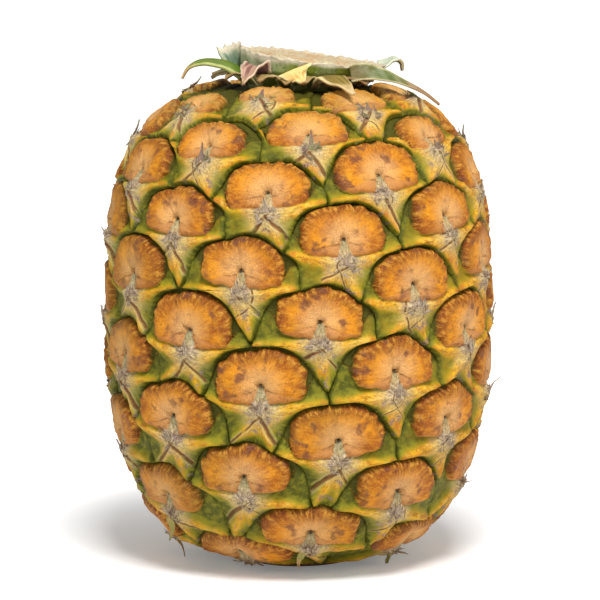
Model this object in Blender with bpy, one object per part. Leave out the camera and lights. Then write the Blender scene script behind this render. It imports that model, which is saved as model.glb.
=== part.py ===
"""Ripe pineapple, crown cut off, standing on its base.

The fruit is one grown body. Some eighty fruitlets cover it in a spiral, and each is raised from the barrel
by formula: an orange disc above, a winged bract with a dry tip below, and a crevice all round. The cut stump
of the crown stands on top with the few leaves that were left on it.

Axes: +Z up, Z = 0 at the flat base, -Y towards the viewer. Lengths below are millimetres.
"""

import math
import random

import bmesh
import bpy
import numpy as np
from mathutils import Vector
from mathutils.geometry import delaunay_2d_cdt

MM = 0.001

# Barrel, measured over the crests of the fruitlets
BELLY_RADIUS = 60.6
BELLY_HEIGHT = 73.2
SHOULDER_RISE = 78.0
SHOULDER_POWERS = (3.5, 2.6)
BASE_POWERS = (2.2, 3.6)
CROWN_SEAT_RADIUS = 19.0
CROWN_SEAT_SINK = 4.2
BASE_FLAT_RADIUS = 17.0
OUTLINE_STEPS = 1500
END_RING_SIDES = 24
SEAT_MARGIN = 0.999

# Spiral of fruitlets, numbered down the fruit, number 0 near the middle of the front
FIRST_EYE = -42
LAST_EYE = 48
EYES_ABOVE = 42.2
FACING = -3.5
DIVERGENCE = 137.86
EYE_AREA = 522.0
EYE_GROWTH = 0.0044
ROWS = 8
ROW_TURNS = 3
ROW_SLIPS = (0.42, -0.50, 0.06, 0.39, 0.0, 0.02, -0.34, -0.08)
BEAK_RISE = 0.19
CROWN_END_CLEAR = 0.22
BASE_END_CLEAR = 0.3
GUARD_CELLS = 9
GUARD_AWAY = 0.42
EYE_SEED = 11

# Crevices. A bulge is a share of the side's length, and clear is how near they come to the end rings, in t.
CREVICE_DEPTH = 4.2
CREVICE_STEP = 5.0
CREVICE_BULGE = 0.19
CREVICE_SKEW = 0.8
CREVICE_ARCH = 1.3
CREVICE_LEAN = 0.4
CREVICE_CALM = 0.3
CREVICE_CLEAR = 0.03
CELL_WIDENING = 0.8

# Relief of one fruitlet. Places are shares of the way from its middle out to the crevice, +y towards the
# crown, and depths lie below the crests. The rim goes by heading in degrees: disc above, wing tips at both
# sides, two lobes below with a groove between them and low flanks beside them.
TYPICAL_EYE = 26.8
LEVEL_SPREAD = 0.5
RIM_SHARE = 0.93
RIM_SPREAD = 1.16
RIM_CLEAR = 0.04
RIM_UNEVEN = 0.15
REACH_HEADINGS = tuple(range(0, 360, 15))
RIM_HEADINGS = (0, 12, 168, 184, 212, 228, 252, 270, 288, 312, 328, 356, 360)
RIM_DEPTHS = (1.1, 0.55, 0.55, 1.1, 2.2, 2.2, 1.5, 2.2, 1.5, 2.2, 2.2, 1.1, 1.1)
DISC_CREST = 0.62
DISC_CREST_HEADINGS = (22, 48, 76, 104, 132, 158)
DISC_SAG = 0.35
DISC_CHEEKS = ((-0.42, 0.13, 0.5), (0.42, 0.13, 0.5))
BEAK_HEIGHT = 0.31
BEAK_RADIUS = 0.13
BEAK_HEADINGS = (90, 162, 18)
BEAK_DEPTH = 2.1
BEAK_LIP = 1.2

# Line where the bract laps over the disc: the foot of the disc above it, the edge of the bract below it
MARGIN_HALF = 0.78
MARGIN_STATIONS = (-1, -0.62, -0.3, 0, 0.3, 0.62, 1)
MARGIN_PEAK = 0.19
MARGIN_PEAK_HALF = 0.13
MARGIN_SAG = 0.05
MARGIN_BASE = 0.01
DISC_FOOT_UP = 0.035
DISC_FOOT = 1.5
DISC_FOOT_FALL = 0.25
BRACT_EDGE_DOWN = 0.03
BRACT_EDGE = 0.6
BRACT_EDGE_FALL = 0.5

# Bract: crests of both wings, then what leans to one side with the keel, then the flanks beside the lobes
WING_CRESTS = ((-0.46, -0.15, 0.9), (0.46, -0.13, 0.9))
KEEL_LEAN = 0.05
KEEL_FOLDS = ((-0.15, -0.5, 0.7), (0.18, -0.48, 0.7), (0.02, -0.55, 1.6))
FLANKS = ((-0.44, -0.45, 2.1), (0.46, -0.43, 2.1))

# Dry tip of the bract: its foot, then how far out, up and sideways its waist and its point are, as shares of
# its length
TIP_FOOT = 0.065
TIP_FOOT_POINTS = ((-1.0, -0.02, 0.2), (0.2, -0.24, 0.1), (1.0, -0.02, 0.2))
TIP_LENGTH = (3.0, 6.0)
TIP_LEAN = 0.5
TIP_WAIST = (0.42, 0.22, 0.1)
TIP_WAIST_SHARE = 0.55
TIP_POINT = (0.72, 0.66, 0.6)

# Cut stump of the crown. Rings of the middle in x, radius, rise over the seat, fall to the right and lap of
# each leaf base over the next, then the rings of the cut as inset and lift from its edge. A leaf base starts
# at each turn of STUMP_BASES and spans STUMP_BASE_SPAN.
STUMP_RINGS = (
    (1.5, 16.6, 0.4, 0.0, 0.075),
    (2.4, 18.0, 3.4, 0.03, 0.6375),
    (4.0, 20.3, 6.4, 0.03, 1.2),
)
STUMP_CUT_MIDDLE = 4.6
STUMP_CUT_RADIUS = 21.2
STUMP_CUT_HEIGHT = 155.6
STUMP_CUT_FALL = 0.13
STUMP_CUT_RINGS = ((0.0, 0.0, 1.5), (2.2, 0.1, 0.75), (10.6, -0.3, 0.0))
STUMP_BASES = (-2.75, -1.9, -1.05, -0.2, 0.75, 1.6, 2.5)
STUMP_BASE_SPAN = 0.95
STUMP_SIDES = 44

# Colours as display values, and the angle past which an edge shows sharp
FRUIT_ORANGE = (0.80, 0.55, 0.16)
STUMP_GREEN = (0.55, 0.60, 0.36)
LEAF_GREEN = (0.38, 0.50, 0.24)
LEAF_STRAW = (0.80, 0.66, 0.42)
SHARP_ANGLE = 40

# Leaves left on the stump: path from root to tip, direction of the blade's width at root and tip, half widths
# from root to tip, and how far the edges curl up, as a share of the half width
BLADE = 0.8
BLADE_ACROSS = (-1, -0.5, 0, 0.5, 1)
LEAVES = {
    "crown_leaf_torn": {
        "path": [(-17.8, 2.0, 150.6), (-18.8, 2.0, 153.4), (-19.7, 2.2, 156.4), (-20.7, 2.6, 159.2)],
        "width": [(0.25, 1.0, 0.0), (0.75, 0.65, 0.0)],
        "half": (3.2, 4.6, 5.2, 4.8),
        "curl": 0.22,
    },
    "crown_leaf_left": {
        "path": [(-16.8, -7.0, 151.6), (-20.1, -7.4, 153.9), (-24.8, -7.6, 155.2), (-30.0, -7.4, 155.0),
                 (-33.6, -7.0, 152.8), (-35.4, -6.6, 149.6)],
        "width": [(0.1, 1.0, 0.25), (0.0, 1.0, 0.3)],
        "half": (3.6, 3.4, 2.8, 2.0, 1.1, 0.6),
        "curl": 0.3,
    },
    "crown_leaf_right": {
        "path": [(15.9, -19.9, 151.7), (20.6, -20.0, 152.3), (26.2, -18.4, 151.0), (32.0, -15.0, 148.8),
                 (38.0, -11.0, 145.7), (43.0, -7.6, 141.8)],
        "width": [(-0.2, 0.45, 0.87), (0.1, 1.0, 0.1)],
        "half": (3.0, 3.6, 3.2, 2.0, 0.9, 0.6),
        "curl": 0.3,
    },
    "crown_leaf_hook": {
        "path": [(25.7, 8.4, 151.8), (28.0, 8.7, 153.2), (30.2, 8.4, 153.9), (31.7, 7.8, 153.1),
                 (32.2, 7.2, 151.0)],
        "width": [(-0.42, 0.9, 0.1), (-0.3, 1.0, 0.0)],
        "half": (3.6, 3.0, 2.2, 1.4, 0.6),
        "curl": 0.2,
    },
    "dry_leaf_front": {
        "path": [(-1.0, -24.4, 153.8), (-0.4, -24.9, 152.5), (0.6, -25.2, 151.0), (1.6, -26.6, 149.6)],
        "width": [(1.0, 0.05, 0.12), (1.0, 0.1, 0.1)],
        "half": (5.8, 4.0, 2.2, 0.6),
        "curl": -0.1,
    },
    "dry_leaf_right": {
        "path": [(8.2, -20.4, 150.6), (10.2, -23.6, 151.6), (12.7, -27.0, 150.6), (14.8, -30.2, 148.8),
                 (16.6, -32.4, 147.0)],
        "width": [(1.0, 0.35, 0.0), (1.0, 0.4, 0.0)],
        "half": (4.6, 4.6, 3.2, 1.6, 0.6),
        "curl": -0.2,
    },
    "dry_bract_left": {
        "path": [(-11.5, -16.9, 151.4), (-12.5, -18.6, 154.0), (-13.9, -20.9, 153.4), (-15.4, -23.4, 151.2),
                 (-16.5, -25.4, 149.6)],
        "width": [(0.85, -0.5, 0.0), (0.85, -0.5, 0.1)],
        "half": (3.4, 4.2, 3.4, 1.8, 0.6),
        "curl": 0.35,
    },
}


def barrel():
    """Crest outline from the crown end down to the base, as columns of arc length, height, radius, outward
    normal, turned skin area so far and the angle-keeping coordinate t, which is arc length over radius summed
    from the belly."""
    rise = np.sin(np.linspace(0, math.pi / 2, OUTLINE_STEPS))
    top_z = BELLY_HEIGHT + SHOULDER_RISE * rise
    top_r = BELLY_RADIUS * (1 - rise ** SHOULDER_POWERS[0]) ** (1 / SHOULDER_POWERS[1])
    low_z = BELLY_HEIGHT * (1 - rise)
    low_r = BELLY_RADIUS * (1 - rise ** BASE_POWERS[0]) ** (1 / BASE_POWERS[1])
    z = np.concatenate([top_z[::-1], low_z[1:]])
    r = np.concatenate([top_r[::-1], low_r[1:]])
    step = np.hypot(np.diff(z), np.diff(r))
    arc = np.concatenate([[0], np.cumsum(step)])
    skin = np.concatenate([[0], np.cumsum(math.pi * (r[1:] + r[:-1]) * step)])
    inside = np.maximum((r[1:] + r[:-1]) / 2, 0.5)
    t = np.concatenate([[0], np.cumsum(step / inside)])
    t -= t[len(top_z) - 1]
    slope_r = np.gradient(r, arc)
    slope_z = np.gradient(z, arc)
    size = np.hypot(slope_r, slope_z)
    return {
        "arc": arc, "z": z, "r": r, "skin": skin, "t": t,
        "out": -slope_z / size, "up": slope_r / size,
    }


BARREL = barrel()


def skin_point(turn, t, depth):
    """Point at this turn round the axis and this t, sunk below the crests by depth along the normal."""
    r = np.interp(t, BARREL["t"], BARREL["r"])
    z = np.interp(t, BARREL["t"], BARREL["z"])
    out = np.interp(t, BARREL["t"], BARREL["out"])
    up = np.interp(t, BARREL["t"], BARREL["up"])
    r = r - depth * out
    return np.stack([r * np.sin(turn), -r * np.cos(turn), z - depth * up], -1)


def eye_centres():
    """Middle of each fruitlet's cell as turn and t, and the side of its square share of skin. The growing
    tip sets fruitlets off by a constant angle, and every fruitlet takes a share of skin that grows slowly
    down the fruit. The eight steep rows have slipped a little along themselves."""
    numbers = np.arange(FIRST_EYE, LAST_EYE + 1)
    slip = np.array(ROW_SLIPS)[numbers % ROWS]
    row_step = ROWS * DIVERGENCE - ROW_TURNS * 360
    turn = np.radians(FACING + DIVERGENCE * numbers + row_step * slip)
    count = numbers + ROWS * slip + EYES_ABOVE
    skin = EYE_AREA * count * (1 + EYE_GROWTH * count)
    side = np.sqrt(EYE_AREA * (1 + 2 * EYE_GROWTH * count))
    arc = np.interp(skin, BARREL["skin"], BARREL["arc"]) + BEAK_RISE * side
    t = np.interp(arc, BARREL["arc"], BARREL["t"])
    turn = (turn + math.pi) % (2 * math.pi) - math.pi
    r = np.interp(t, BARREL["t"], BARREL["r"])
    clear_of_crown = r > CROWN_SEAT_RADIUS + CROWN_END_CLEAR * side
    clear_of_base = r > BASE_FLAT_RADIUS + BASE_END_CLEAR * side
    keep = np.where(t < 0, clear_of_crown, clear_of_base)
    return turn[keep], t[keep], side[keep], r[keep]


def ring_t(radius, top):
    """The t at which the crest outline has this radius, at the crown end or at the base."""
    half = BARREL["t"] < 0 if top else BARREL["t"] > 0
    r = BARREL["r"][half]
    t = BARREL["t"][half]
    order = np.argsort(r)
    return float(np.interp(radius, r[order], t[order]))


SEAT_T = ring_t(CROWN_SEAT_RADIUS, True)
FOOT_T = ring_t(BASE_FLAT_RADIUS, False)


def circumcentre(a, b, c):
    """Point at the same distance from three points of the plane."""
    b = b - a
    c = c - a
    d = 2 * (b[0] * c[1] - b[1] * c[0])
    bb = b @ b
    cc = c @ c
    return a + np.array([c[1] * bb - b[1] * cc, b[0] * cc - c[0] * bb]) / d


def cells(turn, t, guards):
    """Cells of equal nearness in the unrolled skin, where a step round the fruit counts less than a step down
    it, because a bract is wider than tall. For each eye the corners in order round it. The guards are points
    past the crown seat and the base that close the outer cells. Corners are keyed by the three cells that meet
    there, so that neighbours share them."""
    sites = np.concatenate([np.stack([turn, t], 1), guards])
    count = len(sites)
    copies = np.concatenate([sites + [shift * 2 * math.pi, 0] for shift in (0, -1, 1)]) * [CELL_WIDENING, 1]
    result = delaunay_2d_cdt([Vector(point) for point in copies], [], [], 0, 1e-7)
    faces = [[result[3][v][0] for v in face] for face in result[2]]
    around = {}
    for face in faces:
        middle = circumcentre(*copies[face])
        key = tuple(sorted(v % count for v in face))
        for v in face:
            if v < len(turn):
                around.setdefault(v, []).append((middle / [CELL_WIDENING, 1], key))
    found = {}
    for v, corners in around.items():
        corners.sort(key=lambda item: math.atan2(item[0][1] - sites[v][1], item[0][0] - sites[v][0]))
        found[v] = corners
    return found


def crevice_loop(eye, corners, turn, t, radius):
    """Closed crevice round one eye, as keys and as local millimetres with +w towards the crown. Each side is
    split into steps of a few millimetres and bulges towards the crown, because the round disc below pushes
    into the bract above it. On a steep side the arch leans to the crown end, so that the bract runs out in a
    pointed wing."""
    loop = []
    for (start, start_key), (end, end_key) in zip(corners, corners[1:] + corners[:1]):
        shared = sorted(set(start_key) & set(end_key))
        flip = start_key > end_key
        if flip:
            (start, end) = (end, start)
        along = end - start
        length = float(np.hypot(*along))
        scale = float(np.interp((start[1] + end[1]) / 2, BARREL["t"], BARREL["r"]))
        pieces = max(1, round(length * scale / CREVICE_STEP))
        side = np.array([along[1], -along[0]]) / max(length, 1e-9)
        if side[1] > 0:
            side = -side
        steep = abs(along[1]) / max(length, 1e-9)
        swell = CREVICE_BULGE * length * min(1.0, -side[1] / CREVICE_LEAN)
        swell *= min(1.0, max(0.0, (min(start[1], end[1]) - SEAT_T) / CREVICE_CALM))
        points = [(start, start_key if not flip else end_key)]
        for i in range(1, pieces):
            share = i / pieces
            lower = share if along[1] > 0 else 1 - share
            arch = (4 * share * (1 - share)) ** CREVICE_ARCH * (1 - CREVICE_SKEW * steep * (2 * lower - 1))
            points.append((start + along * share + side * swell * arch, (tuple(shared), i)))
        points.append((end, end_key if not flip else start_key))
        if flip:
            points.reverse()
        loop += points[:-1]
    keys = [key for _, key in loop]
    plane = np.array([point for point, _ in loop])
    local = (plane - [turn[eye], t[eye]]) * [radius[eye], -radius[eye]]
    return keys, local


def reach(local, heading):
    """Distance from the middle of the cell to its crevice along each heading."""
    a = local
    b = np.roll(local, -1, axis=0) - local
    ray = np.stack([np.cos(heading), np.sin(heading)], -1)[:, None]
    det = ray[..., 0] * -b[:, 1] + b[:, 0] * ray[..., 1]
    det = np.where(np.abs(det) < 1e-9, 1e-9, det)
    away = (a[:, 0] * -b[:, 1] + b[:, 0] * a[:, 1]) / det
    share = (ray[..., 0] * a[:, 1] - ray[..., 1] * a[:, 0]) / det
    away = np.where((away > 0) & (share > -1e-6) & (share < 1 + 1e-6), away, 1e9)
    return away.min(axis=1)


def margin(x):
    """Height of the line where the bract laps over the disc: low on both sides, raised to the beak between."""
    peak = MARGIN_PEAK * math.exp(-((x / MARGIN_PEAK_HALF) ** 2))
    sag = MARGIN_SAG * math.sin(min(abs(x) / MARGIN_HALF, 1) * math.pi)
    return MARGIN_BASE + peak - sag


def rim_depth(heading):
    """Depth of the rim of one eye by heading."""
    return float(np.interp(math.degrees(heading) % 360, RIM_HEADINGS, RIM_DEPTHS))


def eye_template(draw):
    """Feature points of one eye in the unit disc, with depths, and the lines that must be edges. The last
    three points are the foot of the dry bract tip."""
    points, lines = [], []

    def line(chain, closed=False):
        first = len(points)
        points.extend(chain)
        last = len(points)
        lines.extend((i, i + 1) for i in range(first, last - 1))
        if closed:
            lines.append((last - 1, first))

    foot, edge = [], []
    for station in MARGIN_STATIONS:
        x = station * MARGIN_HALF
        foot.append((x, margin(x) + DISC_FOOT_UP, DISC_FOOT + DISC_FOOT_FALL * abs(station)))
        edge.append((x, margin(x) - BRACT_EDGE_DOWN, BRACT_EDGE + BRACT_EDGE_FALL * abs(station)))
    line(foot)
    line(edge)
    for angle in DISC_CREST_HEADINGS:
        heading = math.radians(angle)
        sag = DISC_SAG * draw.uniform(-1, 1)
        points.append((DISC_CREST * math.cos(heading), DISC_CREST * math.sin(heading), max(0.0, sag)))
    points.extend(DISC_CHEEKS)
    for angle in BEAK_HEADINGS:
        heading = math.radians(angle)
        points.append((BEAK_RADIUS * math.cos(heading), BEAK_HEIGHT + BEAK_RADIUS * math.sin(heading), BEAK_LIP))
    points.append((0.0, BEAK_HEIGHT, BEAK_DEPTH))
    lean = draw.uniform(-KEEL_LEAN, KEEL_LEAN)
    points.extend(WING_CRESTS)
    points.extend((x + lean, y, depth) for x, y, depth in KEEL_FOLDS)
    points.extend(FLANKS)
    line([(x * TIP_FOOT, y, depth) for x, y, depth in TIP_FOOT_POINTS], closed=True)
    return points, lines


def fruit_plan():
    """Every point of the fruit's skin in the unrolled plane with its depth, the lines that must be edges, and
    where each bract tip stands."""
    turn, t, side, radius = eye_centres()
    draw = random.Random(EYE_SEED)
    guard_turns = np.arange(GUARD_CELLS) * 2 * math.pi / GUARD_CELLS - math.pi
    guards = np.concatenate([
        np.stack([guard_turns, np.full(GUARD_CELLS, SEAT_T - GUARD_AWAY)], 1),
        np.stack([guard_turns, np.full(GUARD_CELLS, FOOT_T + GUARD_AWAY)], 1),
    ])
    around = cells(turn, t, guards)
    plane, depths, tied, tips = [], [], [], []
    index = {}

    def add(key, turn_at, t_at, clear, depth):
        """Number of this point, which is made once and kept clear of both end rings."""
        if key not in index:
            index[key] = len(plane)
            plane.append((turn_at, min(max(t_at, SEAT_T + clear), FOOT_T - clear)))
            depths.append(depth)
        return index[key]

    for eye in sorted(around):
        keys, local = crevice_loop(eye, around[eye], turn, t, radius)
        loop = []
        for key, (u, w) in zip(keys, local):
            spot = (turn[eye] + u / radius[eye], t[eye] - w / radius[eye])
            loop.append(add(key, *spot, CREVICE_CLEAR, CREVICE_DEPTH))
        tied += list(zip(loop, loop[1:] + loop[:1]))
        level = draw.uniform(0, LEVEL_SPREAD)
        deepen = min(1.0, side[eye] / TYPICAL_EYE)
        middle_edge = float(np.median(reach(local, np.radians(REACH_HEADINGS))))
        rim = []
        for number, (u, w) in enumerate(local):
            depth = rim_depth(math.atan2(w, u)) + draw.uniform(-RIM_UNEVEN, RIM_UNEVEN)
            share = RIM_SHARE
            if w > 0:
                share *= min(1.0, RIM_SPREAD * middle_edge / math.hypot(u, w))
            spot = (turn[eye] + share * u / radius[eye], t[eye] - share * w / radius[eye])
            rim.append(add((eye, number, "rim"), *spot, RIM_CLEAR, level + depth * deepen))
        tied += list(zip(rim, rim[1:] + rim[:1]))
        template, lines = eye_template(draw)
        share = np.array([(p[0], p[1]) for p in template])
        heading = np.arctan2(share[:, 1], share[:, 0])
        edge = reach(local, heading)
        edge = np.minimum(edge, RIM_SPREAD * middle_edge)
        away = np.hypot(share[:, 0], share[:, 1]) * edge
        first = len(plane)
        for number, (a, d) in enumerate(zip(heading, away)):
            spot = (turn[eye] + d * math.cos(a) / radius[eye], t[eye] - d * math.sin(a) / radius[eye])
            add((eye, number, "eye"), *spot, RIM_CLEAR, level + template[number][2] * deepen)
        tied += [(first + i, first + j) for i, j in lines]
        tips.append((first + len(template) - 3, draw.uniform(*TIP_LENGTH), draw.uniform(-TIP_LEAN, TIP_LEAN)))

    for name, level_t, sink in (("seat", SEAT_T, CROWN_SEAT_SINK), ("foot", FOOT_T, 0.0)):
        ring = []
        for i in range(END_RING_SIDES):
            ring.append(add((name, i), i * 2 * math.pi / END_RING_SIDES - math.pi, level_t, 0.0, sink))
        tied += list(zip(ring, ring[1:] + ring[:1]))
    return np.array(plane), np.array(depths), tied, tips, index


def skin_faces(plane, tied, inner):
    """Triangles over all points, laid out in a plane that keeps angles: the crown end in the middle, the base
    outside. Those within the crown seat are left out, as the seat is closed by one flat face."""
    spread = np.exp(plane[:, 1])
    flat = np.stack([spread * np.cos(plane[:, 0]), spread * np.sin(plane[:, 0])], 1)
    result = delaunay_2d_cdt([Vector(p) for p in flat], tied, [], 0, 1e-6)
    faces = []
    for face in result[2]:
        middle = sum((result[0][v] for v in face), Vector((0, 0))) / len(face)
        if middle.length > inner:
            faces.append([result[3][v][0] for v in face])
    return faces


def raise_tip(bm, verts, foot, length, lean):
    """Dry bract tip: a three-sided spike on its foot triangle, curving up towards the crown."""
    ring = [verts[foot + i] for i in range(3)]
    face = bm.faces.get(ring)
    middle = (ring[0].co + ring[1].co + ring[2].co) / 3
    across = (ring[2].co - ring[0].co).normalized()
    rise = ((ring[0].co + ring[2].co) / 2 - ring[1].co).normalized()
    out = across.cross(rise)
    if out.dot(middle - Vector((0, 0, BELLY_HEIGHT))) < 0:
        out = -out
    order = [loop.vert for loop in face.loops]
    bm.faces.remove(face)

    def along_tip(shares):
        return middle + length * (shares[0] * out + shares[1] * rise + shares[2] * lean * across)

    waist = [bm.verts.new(along_tip(TIP_WAIST) + TIP_WAIST_SHARE * (v.co - middle)) for v in order]
    apex = bm.verts.new(along_tip(TIP_POINT))
    for i in range(3):
        j = (i + 1) % 3
        bm.faces.new([order[i], order[j], waist[j], waist[i]])
        bm.faces.new([waist[i], waist[j], apex])


def fruit_body(material):
    plane, depths, tied, tips, index = fruit_plan()
    seat_inside = math.exp(SEAT_T) * math.cos(math.pi / END_RING_SIDES)
    faces = skin_faces(plane, tied, seat_inside * SEAT_MARGIN)
    points = skin_point(plane[:, 0], plane[:, 1], depths)
    bm = bmesh.new()
    verts = [bm.verts.new(p) for p in points]
    for face in faces:
        bm.faces.new([verts[v] for v in face])
    foot = [verts[index[("foot", i)]] for i in range(END_RING_SIDES)]
    for v in foot:
        v.co.z = 0
    bm.faces.new(foot[::-1])
    bm.faces.new([verts[index[("seat", i)]] for i in range(END_RING_SIDES)])
    for first, length, lean in tips:
        raise_tip(bm, verts, first, length, lean)
    finish("fruit_body", bm, material)


def stump_ring(middle, radius, height, fall, lap):
    """One level of the stump: its outline steps in where each leaf base laps over the next."""
    turns = [2 * math.pi * i / STUMP_SIDES - math.pi for i in range(STUMP_SIDES)]
    ring = []
    for turn in turns:
        since = min((turn - base) % (2 * math.pi) for base in STUMP_BASES)
        r = radius + lap * (1 - since / STUMP_BASE_SPAN)
        x = middle + r * math.sin(turn)
        ring.append((x, -r * math.cos(turn), height - fall * (x - middle)))
    return ring


def crown_stump(material, seat):
    """Stem of the crown with its tight leaf bases, cut off by one slanting stroke of the knife."""
    rings = []
    for middle, radius, rise, fall, lap in STUMP_RINGS:
        rings.append(stump_ring(middle, radius, seat + rise, fall, lap))
    for inset, lift, lap in STUMP_CUT_RINGS:
        radius = STUMP_CUT_RADIUS - inset
        rings.append(stump_ring(STUMP_CUT_MIDDLE, radius, STUMP_CUT_HEIGHT + lift, STUMP_CUT_FALL, lap))
    bm = bmesh.new()
    loops = [[bm.verts.new(p) for p in ring] for ring in rings]
    for low, high in zip(loops, loops[1:]):
        for i in range(STUMP_SIDES):
            j = (i + 1) % STUMP_SIDES
            bm.faces.new([low[i], low[j], high[j], high[i]])
    bm.faces.new(loops[0][::-1])
    bm.faces.new(loops[-1])
    finish("crown_stump", bm, material)


def smooth_path(points, count):
    """Points along a smooth curve through the given ones."""
    points = np.array(points)
    padded = np.concatenate([[2 * points[0] - points[1]], points, [2 * points[-1] - points[-2]]])
    found = []
    for share in np.linspace(0, len(points) - 1, count):
        i = min(int(share), len(points) - 2)
        f = share - i
        a, b, c, d = padded[i:i + 4]
        found.append(0.5 * (2 * b + (c - a) * f + (2 * a - 5 * b + 4 * c - d) * f ** 2
                            + (3 * b - a - 3 * c + d) * f ** 3))
    return np.array(found)


def leaf(name, form, material):
    """Closed blade along its path, curled across its width, with a blunt root and a narrow tip."""
    count = 2 * len(form["path"]) + 1
    middle = smooth_path(form["path"], count)
    along = np.gradient(middle, axis=0)
    along /= np.linalg.norm(along, axis=1)[:, None]
    share = np.linspace(0, 1, count)[:, None]
    across = np.array(form["width"][0]) * (1 - share) + np.array(form["width"][1]) * share
    across -= along * (across * along).sum(1)[:, None]
    across /= np.linalg.norm(across, axis=1)[:, None]
    thick = np.cross(along, across)
    half = np.interp(share[:, 0], np.linspace(0, 1, len(form["half"])), form["half"])
    bm = bmesh.new()
    loops = []
    for i in range(count):
        offsets = [(j, form["curl"] * half[i] * j * j) for j in BLADE_ACROSS]
        top = [middle[i] + across[i] * half[i] * j + thick[i] * (c + BLADE / 2) for j, c in offsets]
        low = [middle[i] + across[i] * half[i] * j + thick[i] * (c - BLADE / 2) for j, c in offsets]
        loops.append([bm.verts.new(p) for p in top + low[::-1]])
    sides = len(loops[0])
    for near, far in zip(loops, loops[1:]):
        for i in range(sides):
            j = (i + 1) % sides
            corners = [near[i], near[j], far[j], far[i]]
            bm.faces.new(corners[:3])
            bm.faces.new([corners[0], corners[2], corners[3]])
    for loop, turned in ((loops[0], False), (loops[-1], True)):
        for i in range(sides // 2 - 1):
            patch = [loop[i], loop[i + 1], loop[sides - 2 - i], loop[sides - 1 - i]]
            bm.faces.new(patch if turned else patch[::-1])
    bmesh.ops.recalc_face_normals(bm, faces=bm.faces)
    finish(name, bm, material)


def finish(name, bm, material):
    """Object of this name from the mesh, in metres, with smooth shading over shallow edges."""
    bmesh.ops.scale(bm, vec=(MM, MM, MM), verts=bm.verts)
    bmesh.ops.triangulate(bm, faces=[f for f in bm.faces if len(f.verts) > 4])
    mesh = bpy.data.meshes.new(name)
    bm.to_mesh(mesh)
    bm.free()
    mesh.shade_smooth()
    mesh.set_sharp_from_angle(angle=math.radians(SHARP_ANGLE))
    mesh.materials.append(material)
    bpy.context.scene.collection.objects.link(bpy.data.objects.new(name, mesh))


def plain(name, colour, roughness):
    """Material of one colour, given as display values from 0 to 1."""
    material = bpy.data.materials.new(name)
    material.use_nodes = True
    shader = material.node_tree.nodes["Principled BSDF"]
    linear = [c / 12.92 if c <= 0.04045 else ((c + 0.055) / 1.055) ** 2.4 for c in colour]
    shader.inputs["Base Color"].default_value = (*linear, 1)
    shader.inputs["Roughness"].default_value = roughness
    shader.inputs["Metallic"].default_value = 0
    return material


for old in list(bpy.data.objects):
    bpy.data.objects.remove(old)

fruit_body(plain("pineapple_skin", FRUIT_ORANGE, 0.5))
seat_height = float(np.interp(SEAT_T, BARREL["t"], BARREL["z"])) - CROWN_SEAT_SINK
crown_stump(plain("leaf_base", STUMP_GREEN, 0.55), seat_height)
green = plain("crown_leaf", LEAF_GREEN, 0.5)
straw = plain("dry_leaf", LEAF_STRAW, 0.7)
for name, form in LEAVES.items():
    leaf(name, form, green if name.startswith("crown") else straw)
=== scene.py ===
"""Pineapple with its crown cut off, standing on a white studio floor."""

import functools
import math
import random

import bpy
import numpy as np
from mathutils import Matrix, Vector
from mathutils.geometry import delaunay_2d_cdt


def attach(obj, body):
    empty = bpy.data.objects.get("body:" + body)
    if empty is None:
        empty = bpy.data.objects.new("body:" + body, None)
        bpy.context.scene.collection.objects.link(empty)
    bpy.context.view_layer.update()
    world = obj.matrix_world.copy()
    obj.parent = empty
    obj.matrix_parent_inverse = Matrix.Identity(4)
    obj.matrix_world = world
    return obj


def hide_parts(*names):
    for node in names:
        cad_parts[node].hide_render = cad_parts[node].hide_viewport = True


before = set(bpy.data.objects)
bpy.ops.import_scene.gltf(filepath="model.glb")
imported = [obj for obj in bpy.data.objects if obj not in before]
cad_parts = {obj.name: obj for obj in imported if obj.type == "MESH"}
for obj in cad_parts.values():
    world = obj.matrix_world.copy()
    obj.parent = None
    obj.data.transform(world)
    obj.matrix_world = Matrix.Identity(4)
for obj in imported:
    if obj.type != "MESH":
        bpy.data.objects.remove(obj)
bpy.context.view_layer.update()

# Camera. A long lens a little over a metre away looks slightly down on the fruit, which stands upright in the
# middle of a square picture, as in the photograph.
MM = 0.001
PICTURE_WIDTH = 185.8 * MM
SENSOR_WIDTH = 36
CAMERA_AWAY = 1.1
CAMERA_RAISE = math.radians(8)
AIM = Vector((0.6 * MM, 0.0, 80.4 * MM))

camera_data = bpy.data.cameras.new("camera")
camera_data.sensor_width = SENSOR_WIDTH
camera_data.lens = SENSOR_WIDTH * CAMERA_AWAY / PICTURE_WIDTH
camera = bpy.data.objects.new("camera", camera_data)
bpy.context.scene.collection.objects.link(camera)
back = Vector((0, -math.cos(CAMERA_RAISE), math.sin(CAMERA_RAISE)))
camera.location = AIM + CAMERA_AWAY * back
camera.rotation_euler = back.to_track_quat("Z", "Y").to_euler()
bpy.context.scene.camera = camera


# Fruitlets. The rind is some eighty fruitlets grown together: the flat orange disc of each is its three dried
# sepals, and the bract below laps over it with two wings, a keel and two lobes. Each is one closed pebble
# here, and they meet in the crevices.
BELLY_RADIUS = 60.6
BELLY_HEIGHT = 73.2
SHOULDER_RISE = 78.0
SHOULDER_POWERS = (3.5, 2.6)
BASE_POWERS = (2.2, 3.6)
OUTLINE_STEPS = 1500
CROWN_SEAT_RADIUS = 19.0
BASE_FLAT_RADIUS = 17.0

FIRST_EYE = -42
LAST_EYE = 48
EYES_ABOVE = 42.2
FACING = -3.5
DIVERGENCE = 137.86
EYE_AREA = 522.0
EYE_GROWTH = 0.0044
EYE_CLEARS = (0.22, 0.3)
ROWS = 8
ROW_TURNS = 3
ROW_SLIPS = (0.42, -0.50, 0.06, 0.39, 0.0, 0.02, -0.34, -0.08)
BEAK_RISE = 0.19
EYE_SEED = 11

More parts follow.
